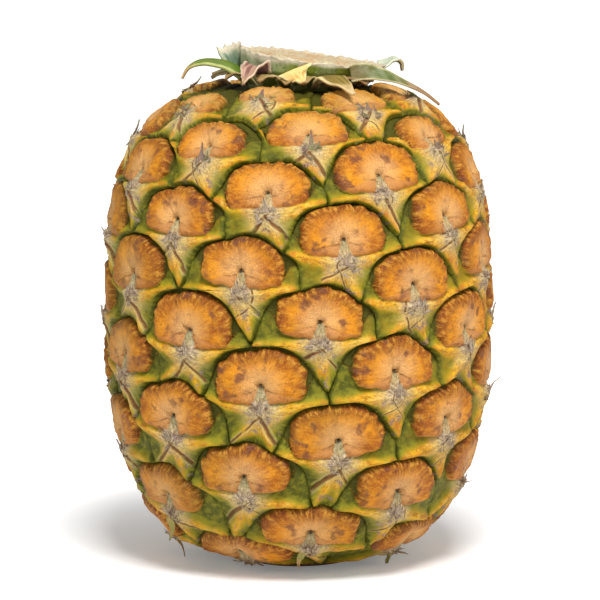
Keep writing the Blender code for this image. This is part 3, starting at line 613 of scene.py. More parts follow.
def rind_material():
    """Rind: orange discs paler round the beak and brown at the rim, yellow bract wings that turn green
    towards the crevice, a grey papery strip at the keel and a pale bloom, brown gashes. Painted highlights on
    the rim ribs and painted shade in their grooves, along the fold below each disc, in the beak pit, in the
    disc corners, on the green flanks, low in the relief and in the crevices."""
    material, tree, shader = new_material("pineapple_rind")
    fade, grain, plus, times, swing = tree.fade, tree.grain, tree.plus, tree.times, tree.swing
    inner, band, strip = tree.split(tree.attribute("zones"))
    edge, beak, tip = tree.split(tree.attribute("edges"))
    crease_left, crease_right, depth = tree.split(tree.attribute("creases"))
    spot, fibre, fan = tree.attribute("spot"), tree.attribute("fibre"), tree.attribute("fan")
    place = tree.place()
    east, _, height = tree.split(place)

    patch = grain(spot, 0.13)
    mottle = grain(spot, 0.45, 3.0)
    fine = grain(spot, 2.4, 3.0, 0.65)
    speck = grain(spot, 1.5, 4.0, 0.75)
    sand = grain(spot, 3.6, 2.0, 0.7)
    rays = grain(fan, 1.5, 3.0, 0.6)
    thread = grain(fibre, 1.5, 3.0, 0.6)
    streak = grain(fibre, 0.55, 2.0)
    wobble = swing(fine)
    sway = times(swing(mottle), 1.6)
    from_edge = plus(edge, sway)
    from_beak = plus(beak, sway)
    from_tip = plus(tip, sway)
    sunk = plus(depth, times(sway, 0.5))
    near_rim = fade(edge, 3.4, 0.6)
    off_beak = fade(beak, 1.0, 6.0)
    dots = tree.new("TexVoronoi")
    tree.put(dots.inputs["Vector"], spot)
    dots.inputs["Scale"].default_value = 0.62
    freckle = times(fade(dots.outputs["Distance"], 0.17, 0.09), fade(mottle, 0.46, 0.6))
    green = plus(times(east, -5.0), times(height, -2.4), 0.66, times(swing(grain(place, 28.0, 1.0)), 1.5))
    green = tree.calc("ADD", green, 0.0, clamp=True)

    face = tree.coats(tree.blend(fade(patch, 0.35, 0.65), "a65500", "df8b00"), {
        "bright rays": ("eba624", fade(rays, 0.42, 0.68), off_beak, 0.45),
        "dark rays": ("87400a", fade(rays, 0.46, 0.34), off_beak, 0.4),
        "bright specks": ("efab3c", fade(speck, 0.50, 0.66), 0.3),
        "dark specks": ("8a400a", fade(speck, 0.50, 0.34), 0.3),
        "pale fan at the beak": ("e8b77a", fade(plus(beak, times(sway, 2.0)), 9.5, 1.5),
                                 plus(times(fade(fine, 0.36, 0.58), 0.5), 0.4)),
        "brown rim": ("7a3a0c", fade(from_edge, 4.6, 0.2), plus(times(fade(patch, 0.3, 0.6), 0.55), 0.35)),
        # painted highlight on the rib crests and painted shade in the rib grooves along the rim
        "painted highlight on rib crests": ("e2a33c", near_rim, fade(rays, 0.50, 0.60), 0.6),
        "painted shade in rib grooves": ("6b300a", near_rim, fade(rays, 0.48, 0.38), 0.6),
        "blotches": ("66362d", fade(plus(grain(spot, 0.24, 2.0), times(wobble, 0.12)), 0.55, 0.70), 0.8,
                     fade(beak, 2.0, 6.0)),
        "green side": ("8a7014", fade(green, 0.55, 1.0), 0.28),
        "pale shoulder": ("cfae55", fade(height, 0.132, 0.148), fade(mottle, 0.35, 0.6), 0.5),
        # painted shade on the fold band below the disc, and a darker painted shade line along its top near
        # the beak
        "fold band": ("b5774c", fade(plus(band, wobble), -0.1, 0.4), fade(fine, 0.25, 0.55),
                      fade(patch, 0.3, 0.6), 0.6),
        "painted shade along the fold line": ("6d3c22", fade(tree.calc("ABSOLUTE", plus(band, times(wobble, 0.6))), 0.42, 0.08),
                      fade(beak, 8.0, 2.0), fade(mottle, 0.35, 0.6), 0.75),
        "freckles": ("8a3a18", freckle, 0.75),
        "bright sand": ("f3bd66", fade(sand, 0.54, 0.66), 0.35),
        "dark sand": ("8a3f0e", fade(sand, 0.46, 0.34), 0.35),
    })

    # painted shade: the green of the bract flanks darkens towards the crevice and with depth
    deep = tree.calc("MAXIMUM", fade(from_edge, 2.0, 0.2), fade(sunk, 1.7, 2.7))
    leafy = tree.coats(tree.blend(deep, "857f16", "565a12"), {
        "light hairs": ("a49c24", fade(thread, 0.45, 0.62), 0.5),
        "dark hairs": ("465010", fade(thread, 0.45, 0.36), 0.45),
    })
    flank = plus(times(fade(edge, 2.4, 0.2), 0.3), times(fade(depth, 0.35, 2.2), 0.95),
                 times(swing(green), 0.7), times(swing(mottle), 0.5), times(swing(thread), 0.7))
    centre = tree.calc("MINIMUM", fade(plus(strip, times(sway, 2.5)), 7.2, 0.5), fade(from_edge, 0.3, 3.0))
    bloom = tree.blend(fade(speck, 0.38, 0.62), "ada06a", "d9cfa0")
    tuft = times(fade(plus(strip, plus(times(wobble, 3.0), sway)), 2.2, -0.2), fade(beak, 12.0, 5.0),
                 plus(times(fade(beak, 3.0, 6.5), 0.55), 0.45))
    paper = tree.blend(fade(thread, 0.42, 0.58), "8c7060", "ccbba4")
    paper = tree.coats(paper, {"dark fibres": ("5d443a", fade(speck, 0.5, 0.36), 0.7)})
    rag = tree.blend(fade(fine, 0.42, 0.6), "5f453e", "b09a92")
    wing = tree.coats(tree.blend(fade(mottle, 0.35, 0.65), "cc8200", "eaad0a"), {
        "brown streaks": ("a4591c", fade(streak, 0.54, 0.64), 0.45),
        "pale streaks": ("f0cf6a", fade(streak, 0.46, 0.36), 0.4),
        "pale threads": ("f2cb58", fade(thread, 0.52, 0.66), 0.6),
        "olive threads": ("8b6a0a", fade(thread, 0.47, 0.35), 0.65),
        "bright specks": ("f2cc58", fade(speck, 0.51, 0.65), 0.4),
        "dark specks": ("8a6410", fade(speck, 0.49, 0.35), 0.35),
        "bright sand": ("f4d470", fade(sand, 0.54, 0.66), 0.35),
        "dark sand": ("85531a", fade(sand, 0.44, 0.34), 0.45),
        "orange tips": ("c8701a", fade(from_tip, 5.0, 1.0), 0.6),
        "brown tips": ("8c3a1c", fade(from_tip, 3.2, 1.0), fade(thread, 0.52, 0.62), 0.8),
        "olive flanks": ("a8900f", fade(flank, 0.05, 0.7), 0.8),
        "green flanks": (leafy, fade(flank, 0.35, 1.05)),
        "bloom": (bloom, centre, plus(times(green, 0.25), 0.58), fade(fine, 0.2, 0.55),
                  fade(from_beak, 16.0, 8.0)),
        "freckles": ("7c4420", freckle, 0.6),
        "papery tuft": (paper, tuft, 0.85),
        "worn rags": (rag, fade(grain(spot, 0.33, 2.0), 0.56, 0.66), fade(plus(strip, sway), 4.5, 1.0),
                      fade(beak, 4.0, 7.0), 0.75),
    })
    gashes = []
    for crease in (crease_left, crease_right):
        off = tree.calc("ABSOLUTE", plus(crease, times(wobble, 0.9)))
        broken = times(fade(grain(fibre, 0.7, 1.0), 0.34, 0.46), fade(edge, 0.3, 1.2))
        gashes.append(times(fade(off, 0.85, 0.2), broken))
        wing = tree.coats(wing, {
            "pale lips": ("e0c987", fade(off, 1.9, 0.8), broken, 0.4),
            "gash": ("763c1c", gashes[-1], 0.85),
        })

    colour = tree.coats(tree.blend(fade(plus(inner, times(wobble, 0.5)), -0.12, 0.12), wing, face), {
        # painted shade where the disc's corners drop towards the crevice
        "corners": ("5a5712", fade(edge, 0.35, -0.2), fade(inner, -0.2, 0.3)),
        # painted shade: near-black in the pit of the beak
        "painted shade in the beak pit": ("33231b", fade(plus(beak, times(wobble, 1.2)), 0.95, 0.35), 0.85),
        # painted shade: darker with depth low in the relief
        "painted shade low in the relief": ("3a3a06", fade(sunk, 0.9, 2.8), 0.2),
        # painted shade in the crevices, a little weaker next to the crown
        "crevice": ("33310d", fade(sunk, 2.6, 3.7), plus(times(fade(height, 0.149, 0.138), 0.10), 0.14)),
    })
    tree.put(shader.inputs["Base Color"], colour)
    tree.put(shader.inputs["Roughness"], plus(times(fine, 0.4), 0.32, times(tuft, 0.25)))
    ribbed = times(rays, near_rim, fade(inner, 0.0, 0.6), 1.8)
    open_gash = times(tree.calc("MAXIMUM", *gashes), fade(inner, 0.1, -0.2))
    relief = plus(plus(times(fine, 0.7), ribbed), plus(times(rays, 0.5), times(thread, 0.6)))
    relief = plus(relief, plus(times(streak, 0.8), times(open_gash, -1.0)))
    bumped(tree, shader, relief, 0.9, 0.5)
    shader.inputs["Specular IOR Level"].default_value = 0.2
    return material


draw = random.Random(EYE_SEED)
bands = [[] for _ in range(BANDS)]
hearts = []
for eye in range(len(EYE_TURN)):
    grid, fields, heart = fruitlet(eye, draw)
    bands[eye * BANDS // len(EYE_TURN)].append((grid, fields))
    hearts.append(heart)

rind = rind_material()
for number, band in enumerate(bands):
    points, quads, fans, offset = [], [], [], 0
    attributes = {}
    for grid, fields in band:
        rows, spokes = grid.shape[:2]
        points += [grid[0, :1], grid[1:].reshape(-1, 3), grid[-1].mean(0)[None] * 0.995]
        for key, values in fields.items():
            attributes.setdefault(key, []).extend([values[0, :1], values[1:].reshape(-1, 3), values[-1, :1]])
        four, three = polar_faces(rows, spokes, offset)
        quads.append(four)
        fans.append(three)
        offset += 2 + (rows - 1) * spokes
    faces = np.concatenate(quads).tolist() + np.concatenate(fans).tolist()
    attributes = {key: np.concatenate(parts) for key, parts in attributes.items()}
    piece = make_mesh(f"fruitlets_{number}", np.concatenate(points), faces, attributes)
    dress(piece, "fruit_body", "fruit_skin", rind)


# Skin between the fruitlets. The ground of the crevices, dark green, with the woody seat of the crown above
# and the corky scar of the stalk below. It is one grown skin, so it is one turned body here.
GROUND_DEPTH = 4.0
GROUND_TURNS = 120
GROUND_LEVELS = 70
SEAT_SINK = 4.2


def turned(profile, count):
    """Closed body of revolution from a profile of (radius, height) that starts and ends on the axis."""
    turn = np.arange(count) * 2 * math.pi / count
    r, z = np.array(profile[1:-1]).T[..., None]
    ring = np.stack([r * np.sin(turn), -r * np.cos(turn), np.broadcast_to(z, (len(r), count))], -1)
    points = np.concatenate([[(0, 0, profile[0][1])], ring.reshape(-1, 3), [(0, 0, profile[-1][1])]])
    quads, fans = polar_faces(len(r) + 1, count, 0)
    return points, quads.tolist() + fans.tolist()


ground_t = np.linspace(SEAT_T, FOOT_T, GROUND_LEVELS)
ground_r = along_barrel(ground_t, "r") - GROUND_DEPTH * along_barrel(ground_t, "out")
ground_z = along_barrel(ground_t, "z") - GROUND_DEPTH * along_barrel(ground_t, "up")
seat_z = float(along_barrel(SEAT_T, "z")) - SEAT_SINK
profile = [(0, seat_z), (8, seat_z), (CROWN_SEAT_RADIUS - 1, seat_z)]
profile += [(r, min(z, seat_z + 0.4)) for r, z in zip(ground_r, ground_z)
            if r > CROWN_SEAT_RADIUS - 0.5 and z > 0.6]
profile += [(BASE_FLAT_RADIUS + 1.2, 0.5), (BASE_FLAT_RADIUS + 0.4, 0.0), (12, 0.0), (6, 0.0), (0, 0.0)]
crevice_skin, tree, shader = new_material("crevice_skin")
place = tree.place()
fibre = tree.grain(place, 600.0, 4.0)
skin = tree.blend(fibre, "4a4614", "7d7434")
cork = tree.blend(fibre, "6b4c2c", "b08a5a")
tree.put(shader.inputs["Base Color"], tree.blend(tree.fade(tree.split(place)[2], 0.0012, 0.0006), skin, cork))
shader.inputs["Roughness"].default_value = 0.8
bumped(tree, shader, fibre, 0.6, 0.5)
ground = make_mesh("crevice_ground", *turned(profile[::-1], GROUND_TURNS))
dress(ground, "fruit_body", "fruit_skin", crevice_skin)


# Bract tips. Every bract ends in a dry papery point that lies up its keel to the beak, in a tuft of torn
# fibres, and drying has curled some of them off the fruit. Next to the crown they are small leaves, still
# green or purple-brown, and round the base some hang down as straw-coloured points.
TIP_FORM = {"thick": 0.25, "grid": (14, 7), "wave": 0.10}
TIP_HALF = (0.45, 0.85)
TIP_LIFT = (0.6, 3.8)
TIP_SHARE = (0.3, 0.7)
LEAFY_T = -0.95
LEAFY_GROWTH = 1.4
HANGING_FORM = {"thick": 0.25, "grid": (14, 7), "wave": 0.15}
HANGING_T = 0.95
HANGING_RADIUS = 33.0
HANGING_LENGTH = (6.0, 9.5)
HANGING_HALF = (1.0, 1.9)
HANGING_LIFT = (2.0, 4.5)
FIBRE_FORM = {"thick": 0.16, "grid": (6, 3), "wave": 0.04}
FIBRES = 9
FIBRE_LENGTH = (1.4, 3.6)
FIBRE_HALF = (0.15, 0.45)
FIBRE_LIFT = (0.0, 0.9)
TIP_SEED = 5
PAPERY, LEAFY, STRAW = 0.0, 0.4, 0.8


def blade(middle, across, normal, half, bend, thick):
    """Closed blade: stations along the middle line by points across, an upper and an under side joined all
    round. Bend is the offset along the normal of every station and point across, from -1 to 1."""
    stations, points_across = bend.shape
    j = np.linspace(-1, 1, points_across)
    flat = middle[:, None] + across[:, None] * (half[:, None] * j)[..., None]
    up = normal[:, None] * (bend + thick / 2)[..., None]
    low = normal[:, None] * (bend - thick / 2)[..., None]
    loops = np.concatenate([flat + up, (flat + low)[:, ::-1]], axis=1)
    sides = loops.shape[1]
    i, k = np.meshgrid(np.arange(stations - 1), np.arange(sides), indexing="ij")
    row, after, next_k = i * sides, (i + 1) * sides, (k + 1) % sides
    quads = np.stack([row + k, row + next_k, after + next_k, after + k], -1).reshape(-1, 4)
    m = np.arange(points_across - 1)
    end = np.stack([m, m + 1, sides - 2 - m, sides - 1 - m], -1)
    last = (stations - 1) * sides + end
    share = np.broadcast_to(np.linspace(0, 1, stations)[:, None], (stations, sides))
    place_across = np.broadcast_to(np.concatenate([j, j[::-1]]), (stations, sides))
    field = np.stack([share, place_across, np.zeros(share.shape)], -1).reshape(-1, 3)
    return loops.reshape(-1, 3), np.concatenate([quads, end[:, ::-1], last]), field


def strand(eye, root, heading, length, curl, lift, half, thick, grid, wave):
    """Blade laid on the rind by an eye: it leaves the root at a heading, turns by curl, rises from the crests
    by lift towards its tip and narrows to a point. Wave is how far its width buckles."""
    stations, points_across = grid
    share = np.linspace(0, 1, stations)
    bearing = heading + curl * share
    step = length / (stations - 1)
    x = root[0] + np.concatenate([[0], np.cumsum(np.cos(bearing[:-1]))]) * step
    y = root[1] + np.concatenate([[0], np.cumsum(np.sin(bearing[:-1]))]) * step
    h = root[2] + 0.75 * np.minimum(share / 0.12, 1) + lift * share ** 2.2
    width = half * (1 - share ** 1.6) * (0.75 + 0.25 * np.minimum(share / 0.2, 1)) + 0.06
    j = np.linspace(-1, 1, points_across)
    bend = 0.45 * width[:, None] * j ** 2 + wave * np.sin(5 * j + 9 * share[:, None] + eye)
    across = np.stack([np.sin(bearing), -np.cos(bearing), 0 * bearing], -1)
    outward = np.broadcast_to([0.0, 0.0, 1.0], across.shape)
    local, quads, field = blade(np.stack([x, y, h], -1), across, outward, width, bend, thick)
    where_t = np.clip(EYE_T[eye] - local[:, 1] / EYE_RADIUS[eye], SEAT_T - 0.05, FOOT_T)
    placed = skin_point(EYE_TURN[eye] + local[:, 0] / EYE_RADIUS[eye], where_t, -local[:, 2])
    placed[:, 2] = np.maximum(placed[:, 2], 0.3)
    return placed, quads, field


def joined(parts):
    """Points, faces and fields of many blades as one mesh."""
    points, faces, fields = zip(*parts)
    starts = np.cumsum([0] + [len(part) for part in points[:-1]])
    faces = [part + start for part, start in zip(faces, starts)]
    return np.concatenate(points), np.concatenate(faces), np.concatenate(fields)


def dry_tissue(name, light, dark, ribs, tip, tip_span, root=None, edge=None, bloom=0.0):
    """Dry or green leaf tissue: two tones in fine ribs along the blade, another colour towards the tip, the
    root and the margins, and a grey bloom in clouds."""
    material, tree, shader = new_material(name)
    along, sideways, number = tree.split(tree.attribute("blade"))
    joint = tree.new("CombineXYZ")
    for socket, value, scale in zip(joint.inputs, (along, sideways, number), (1.6, ribs, 3.7)):
        tree.put(socket, tree.times(value, scale))
    lines = tree.grain(joint.outputs[0], 1.3, 3.0, 0.6)
    cloud = tree.grain(tree.place(), 260.0, 3.0)
    colour = tree.blend(tree.fade(lines, 0.38, 0.62), dark, light)
    drift = tree.times(tree.swing(cloud), 0.5)
    lengthwise = tree.plus(along, drift)
    crosswise = tree.plus(tree.calc("ABSOLUTE", sideways), drift)
    if root:
        colour = tree.blend(tree.fade(lengthwise, 0.45, 0.05), colour, root)
    if edge:
        colour = tree.blend(tree.fade(crosswise, 0.72, 0.98), colour, edge)
    colour = tree.blend(tree.fade(lengthwise, *tip_span), colour, tip)
    if bloom:
        colour = tree.coats(colour, {"bloom": ("b9bda0", tree.fade(cloud, 0.4, 0.65), bloom)})
    tree.put(shader.inputs["Base Color"], colour)
    shader.inputs["Roughness"].default_value = 0.55
    bumped(tree, shader, tree.plus(lines, tree.times(cloud, 0.4)), 0.6, 0.4)
    return material, tree, shader.inputs["Base Color"], colour, number, cloud


draw = random.Random(TIP_SEED)
strands = []
for eye, (heart, level) in enumerate(hearts):
    kind, growth = (LEAFY, LEAFY_GROWTH) if EYE_T[eye] < LEAFY_T else (PAPERY, 1.0)
    root = (heart[0], heart[1] + 0.6, -level - 0.5)
    upright = BEAK_RISE * EYE_SIDE[eye] - heart[1]
    made = [(kind, strand(eye, root, math.pi / 2 + draw.uniform(-0.3, 0.3),
                          upright * draw.uniform(*TIP_SHARE) * growth, draw.uniform(-0.5, 0.5),
                          draw.uniform(*TIP_LIFT) * draw.uniform(0.3, 1.0) / growth,
                          draw.uniform(*TIP_HALF) * growth, **TIP_FORM))]
    if EYE_T[eye] > HANGING_T and EYE_RADIUS[eye] > HANGING_RADIUS:
        foot = (heart[0] + draw.uniform(-2.0, 2.0), heart[1] + 1.0, -level - 0.7)
        made.append((STRAW, strand(eye, foot, -math.pi / 2 + draw.uniform(-0.7, 0.7),
                                   draw.uniform(*HANGING_LENGTH), draw.uniform(-0.8, 0.8),
                                   draw.uniform(*HANGING_LIFT), draw.uniform(*HANGING_HALF), **HANGING_FORM)))
    for _ in range(FIBRES):
        spot = (root[0] + draw.uniform(-2.6, 2.6), root[1] + draw.uniform(-2.6, 2.2), root[2] - 0.15)
        made.append((kind, strand(eye, spot, draw.uniform(-0.6, math.pi + 0.6), draw.uniform(*FIBRE_LENGTH),
                                  draw.uniform(-0.9, 0.9), draw.uniform(*FIBRE_LIFT),
                                  draw.uniform(*FIBRE_HALF), **FIBRE_FORM)))
    for kind, (grid, quads, field) in made:
        field[:, 2] = eye + kind
        strands.append((grid, quads, field))
points, faces, field = joined(strands)
bract_tips = make_mesh("bract_tips", points, faces.tolist(), {"blade": field})

papery, tree, base_colour, colour, number, cloud = dry_tissue(
    "papery_tip", "c6b49c", "846a54", 4.0, tip="7a5a40", tip_span=(0.75, 1.05))
kind = tree.calc("FRACT", number)
leafy = tree.blend(tree.fade(cloud, 0.42, 0.6), "74743a", "75584c")
straw = tree.blend(tree.fade(cloud, 0.42, 0.6), "9c9440", "c79a5c")
tree.put(base_colour, tree.coats(colour, {
    "small leaves": (leafy, tree.fade(kind, 0.15, 0.3), 0.8),
    "hanging points": (straw, tree.fade(kind, 0.55, 0.7), 0.85),
}))
dress(bract_tips, "fruit_body", "fruit_skin", papery)


# Crown stump. The stem of the crown wrapped in its tight leaf bases, green and waxy outside, sliced off with
# a knife. The slice shows the leaf layers as pale rings round the pith, with torn papery edges.
STUMP_KNOTS = (0.0, 0.28, 0.55, 1.0)
STUMP_MIDDLES = (1.5, 2.4, 4.0, 4.6)
STUMP_RADII = (16.6, 18.0, 20.3, 21.2)
STUMP_RISES = (0.4, 3.4, 6.4)
STUMP_FALLS = (0.0, 0.03, 0.03, 0.13)
STUMP_CUT_HEIGHT = 155.6
STUMP_BASES = (-2.75, -1.9, -1.05, -0.2, 0.75, 1.6, 2.5)
STUMP_LAP = 1.5
LAP_SHARES = (0.05, 0.43, 0.8, 1.0)
LAP_SPAN = 0.95
STUMP_TURNS = 260
WALL_LEVELS = 34
SLICE_RINGS = 46
LAYERS = 11
LAYER_HEIGHT = 0.20
SLICE_DISH = 0.9
STUMP_SEED = 21


def knot(values):
    """Values at the knots of the stump, from its foot to the cut, drawn out over the levels of its wall."""
    return np.interp(v, STUMP_KNOTS, values)


draw = random.Random(STUMP_SEED)
turn = np.arange(STUMP_TURNS) * 2 * math.pi / STUMP_TURNS - math.pi
arc = turn * 20
since = np.min([(turn - base) % (2 * math.pi) for base in STUMP_BASES], axis=0)
v = np.linspace(0, 1, WALL_LEVELS)[:, None]
middle_x = knot(STUMP_MIDDLES)
rise = knot((*(seat_z + up for up in STUMP_RISES), STUMP_CUT_HEIGHT))
lap = STUMP_LAP * knot(LAP_SHARES)
ribs = ripple(arc, 0 * turn, draw, 1.6, 5)
r = knot(STUMP_RADII) + lap * (1 - since / LAP_SPAN) + 0.10 * ribs * smooth(0.1, 0.5, v)
r = r + 0.25 * ripple(arc, 9 * v, draw, 9.0)
ragged = 0.30 * ripple(arc, 0 * turn, draw, 2.6, 5) + 0.25 * ripple(arc, 0 * turn, draw, 7.0)
z = rise + ragged * smooth(0.8, 1.0, v)
x = middle_x + r * np.sin(turn)
wall = np.stack([x, -r * np.cos(turn), z - knot(STUMP_FALLS) * (x - middle_x)], -1)
wall_field = np.stack([np.broadcast_to(v, r.shape), np.broadcast_to(since, r.shape), np.zeros(r.shape)], -1)

w = np.linspace(0.02, 0.985, SLICE_RINGS)[:, None]
outer = STUMP_RADII[-1] + STUMP_LAP * (1 - since / LAP_SPAN) * (1 - w)
r = (outer + 0.25 * ripple(arc, 0 * turn + 9, draw, 9.0)) * (1 - w)
layer = np.sin(2 * math.pi * (w * LAYERS + 0.35 * np.sin(3 * turn + 1) + 0.25 * np.sin(5 * turn + 2 * w)))
height = ragged * smooth(0.10, 0.0, w) + LAYER_HEIGHT * layer * smooth(0.65, 0.4, w) * smooth(0.0, 0.1, w)
height = height - SLICE_DISH * smooth(0.02, 0.16, w) * smooth(0.5, 0.2, w)
height = height + 0.15 * ripple(r * np.sin(turn), r * np.cos(turn), draw, 3.0)
x = STUMP_MIDDLES[-1] + r * np.sin(turn)
slice_z = STUMP_CUT_HEIGHT + height - STUMP_FALLS[-1] * (x - STUMP_MIDDLES[-1])
slice_face = np.stack([x, -r * np.cos(turn), slice_z], -1)
slice_field = np.stack([1 + w + 0 * r, layer, np.ones(r.shape)], -1)
rows = np.concatenate([wall, slice_face])
field_rows = np.concatenate([wall_field, slice_field])
points = np.concatenate([rows[0].mean(0)[None], rows.reshape(-1, 3), rows[-1].mean(0)[None]])
values = np.concatenate([field_rows[0, :1], field_rows.reshape(-1, 3), field_rows[-1, :1]])
quads, fans = polar_faces(len(rows) + 1, STUMP_TURNS, 0)
flipped = quads[:, ::-1].tolist() + fans[:, ::-1].tolist()
stump = make_mesh("cut_stump", points, flipped, {"stump": values})

leaf_base, tree, shader = new_material("leaf_base")
level, since_lap, on_slice = tree.split(tree.attribute("stump"))
place = tree.place()
stretched = tree.new("Mapping")
stretched.inputs["Scale"].default_value = (1, 1, 0.18)
tree.put(stretched.inputs["Vector"], place)
lines = tree.grain(stretched.outputs[0], 900.0, 3.0)
cloud = tree.grain(place, 130.0, 3.0)
speck = tree.grain(place, 900.0, 3.0)
greens = tree.coats(tree.blend(tree.fade(cloud, 0.42, 0.6), "87952a", "98a061"), {
    "grey left side": ("9aa078", tree.fade(tree.split(place)[0], -0.001, -0.012)),
    "pale ribs": ("a9ad84", tree.fade(lines, 0.5, 0.7), 0.18),
    "dark specks": ("4f5c2c", tree.fade(speck, 0.48, 0.36), 0.5),
    "brown foot": ("62602a", tree.fade(level, 0.45, 0.0), 0.7),
    "leaf margins": ("cdc4a4", tree.fade(since_lap, 0.06, 0.01), 0.6),
    "torn lip": ("d8ccae", tree.fade(tree.plus(level, tree.times(tree.swing(cloud), 0.2)), 0.78, 0.92)),
})
cream = tree.coats("c8ba95", {
    "orange clouds": ("c49868", tree.fade(cloud, 0.46, 0.66), 0.7),
    "layer edges": ("b39a74", tree.fade(since_lap, 0.3, 0.9), 0.4),
    "orange specks": ("b57c48", tree.fade(speck, 0.52, 0.64), 0.5),
    "pale border": ("cfc2a6", tree.fade(level, 1.12, 1.0)),
})
tree.put(shader.inputs["Base Color"], tree.blend(on_slice, greens, cream))
shader.inputs["Roughness"].default_value = 0.6
bumped(tree, shader, tree.plus(lines, speck), 0.5, 0.4)
dress(stump, "crown_stump", "leaf_base", leaf_base)


# Neck scales. Short dry scale leaves that sit round the neck of the stump and lean out over the topmost
# fruitlets. They belong to the stump, so they are part of its node; some are still green, most have browned.
NECK_SCALES = 17
SCALE_TURN = math.radians(137.5)
SCALE_STATIONS = 16
SCALE_ACROSS = 9
SCALE_THICK = 0.5
SCALE_MIDDLE = 2.2
SCALE_RADII = (16.8, 20.2, 23.6, 27.2)
SCALE_RISES = (1.6, 4.4, 5.3, 3.6)
SCALE_HALVES = (4.6, 5.2, 3.9, 0.4)
SCALE_REACH = (-1.5, 2.2)
SCALE_RAISE = (-0.4, 0.9)
SCALE_GROWTH = (0.8, 1.1)
SCALE_SEED = 3


def smooth_path(points, count):
    """Points along a smooth curve through the given ones, every four of which set one cubic piece."""
    points = np.array(points)
    padded = np.concatenate([[2 * points[0] - points[1]], points, [2 * points[-1] - points[-2]]])
    share = np.linspace(0, len(points) - 1, count)
    i = np.minimum(share.astype(int), len(points) - 2)
    f = (share - i)[:, None]
    a, b, c, d = (padded[i + k] for k in range(4))
    square, cube = 2 * a - 5 * b + 4 * c - d, 3 * b - a - 3 * c + d
    return 0.5 * (2 * b + (c - a) * f + square * f ** 2 + cube * f ** 3)


def directions(middle, side):
    """Unit vectors along a middle line, and across it as near to side as squareness lets them be."""
    along = np.gradient(middle, axis=0)
    along /= np.linalg.norm(along, axis=1)[:, None]
    across = side - along * (side * along).sum(1)[:, None]
    return along, across / np.linalg.norm(across, axis=1)[:, None]


def spread(values, count):
    """Values at equal steps along a leaf, drawn out to one for each of its stations."""
    return np.interp(np.linspace(0, 1, count), np.linspace(0, 1, len(values)), values)


draw = random.Random(SCALE_SEED)
share = np.linspace(0, 1, SCALE_STATIONS)[:, None]
j = np.linspace(-1, 1, SCALE_ACROSS)
scale_leaves = []
for number in range(NECK_SCALES):
    turn = SCALE_TURN * number
    out = np.array([math.sin(turn), -math.cos(turn), 0.0])
    reach_out, raise_up, growth = (draw.uniform(*span) for span in (SCALE_REACH, SCALE_RAISE, SCALE_GROWTH))
    middle = smooth_path([out * (r + reach_out * k / 3) + [SCALE_MIDDLE, 0, seat_z + rise + raise_up * k / 3]
                          for k, (r, rise) in enumerate(zip(SCALE_RADII, SCALE_RISES))], SCALE_STATIONS)
    half = growth * spread(SCALE_HALVES, SCALE_STATIONS)
    side = np.array([math.cos(turn), math.sin(turn), 0.0]) + 0.15 * draw.uniform(-1, 1) * out
    along, across = directions(middle, side)
    bend = draw.uniform(-0.25, 0.1) * half[:, None] * j ** 2 + 0.12 * ripple(7 * j, 3 * share, draw, 2.5)
    bend = bend + 0.5 * j ** 2 * ripple(0.3 * j, 16 * share, draw, 6.0) * smooth(0.3, 0.7, share)
    grid, quads, field = blade(middle, across, np.cross(along, across), half, bend, SCALE_THICK)
    field[:, 2] = number
    scale_leaves.append((grid, quads, field))
points, faces, field = joined(scale_leaves)
scales = make_mesh("neck_scales", points, faces[:, ::-1].tolist(), {"blade": field})
scale_skin, tree, base_colour, colour, number, cloud = dry_tissue(
    "neck_scale", "8d9140", "626b28", 5.0, tip="a58350", tip_span=(0.5, 1.0), root="525c1c", edge="bda873")
dried = tree.blend(tree.fade(cloud, 0.4, 0.62), "86643e", "ba9562")
kind = tree.calc("FRACT", tree.times(number, 0.618))
tree.put(base_colour, tree.coats(colour, {"dried scales": (dried, tree.fade(kind, 0.42, 0.58), 0.85)}))
dress(scales, "crown_stump", "leaf_base", scale_skin)


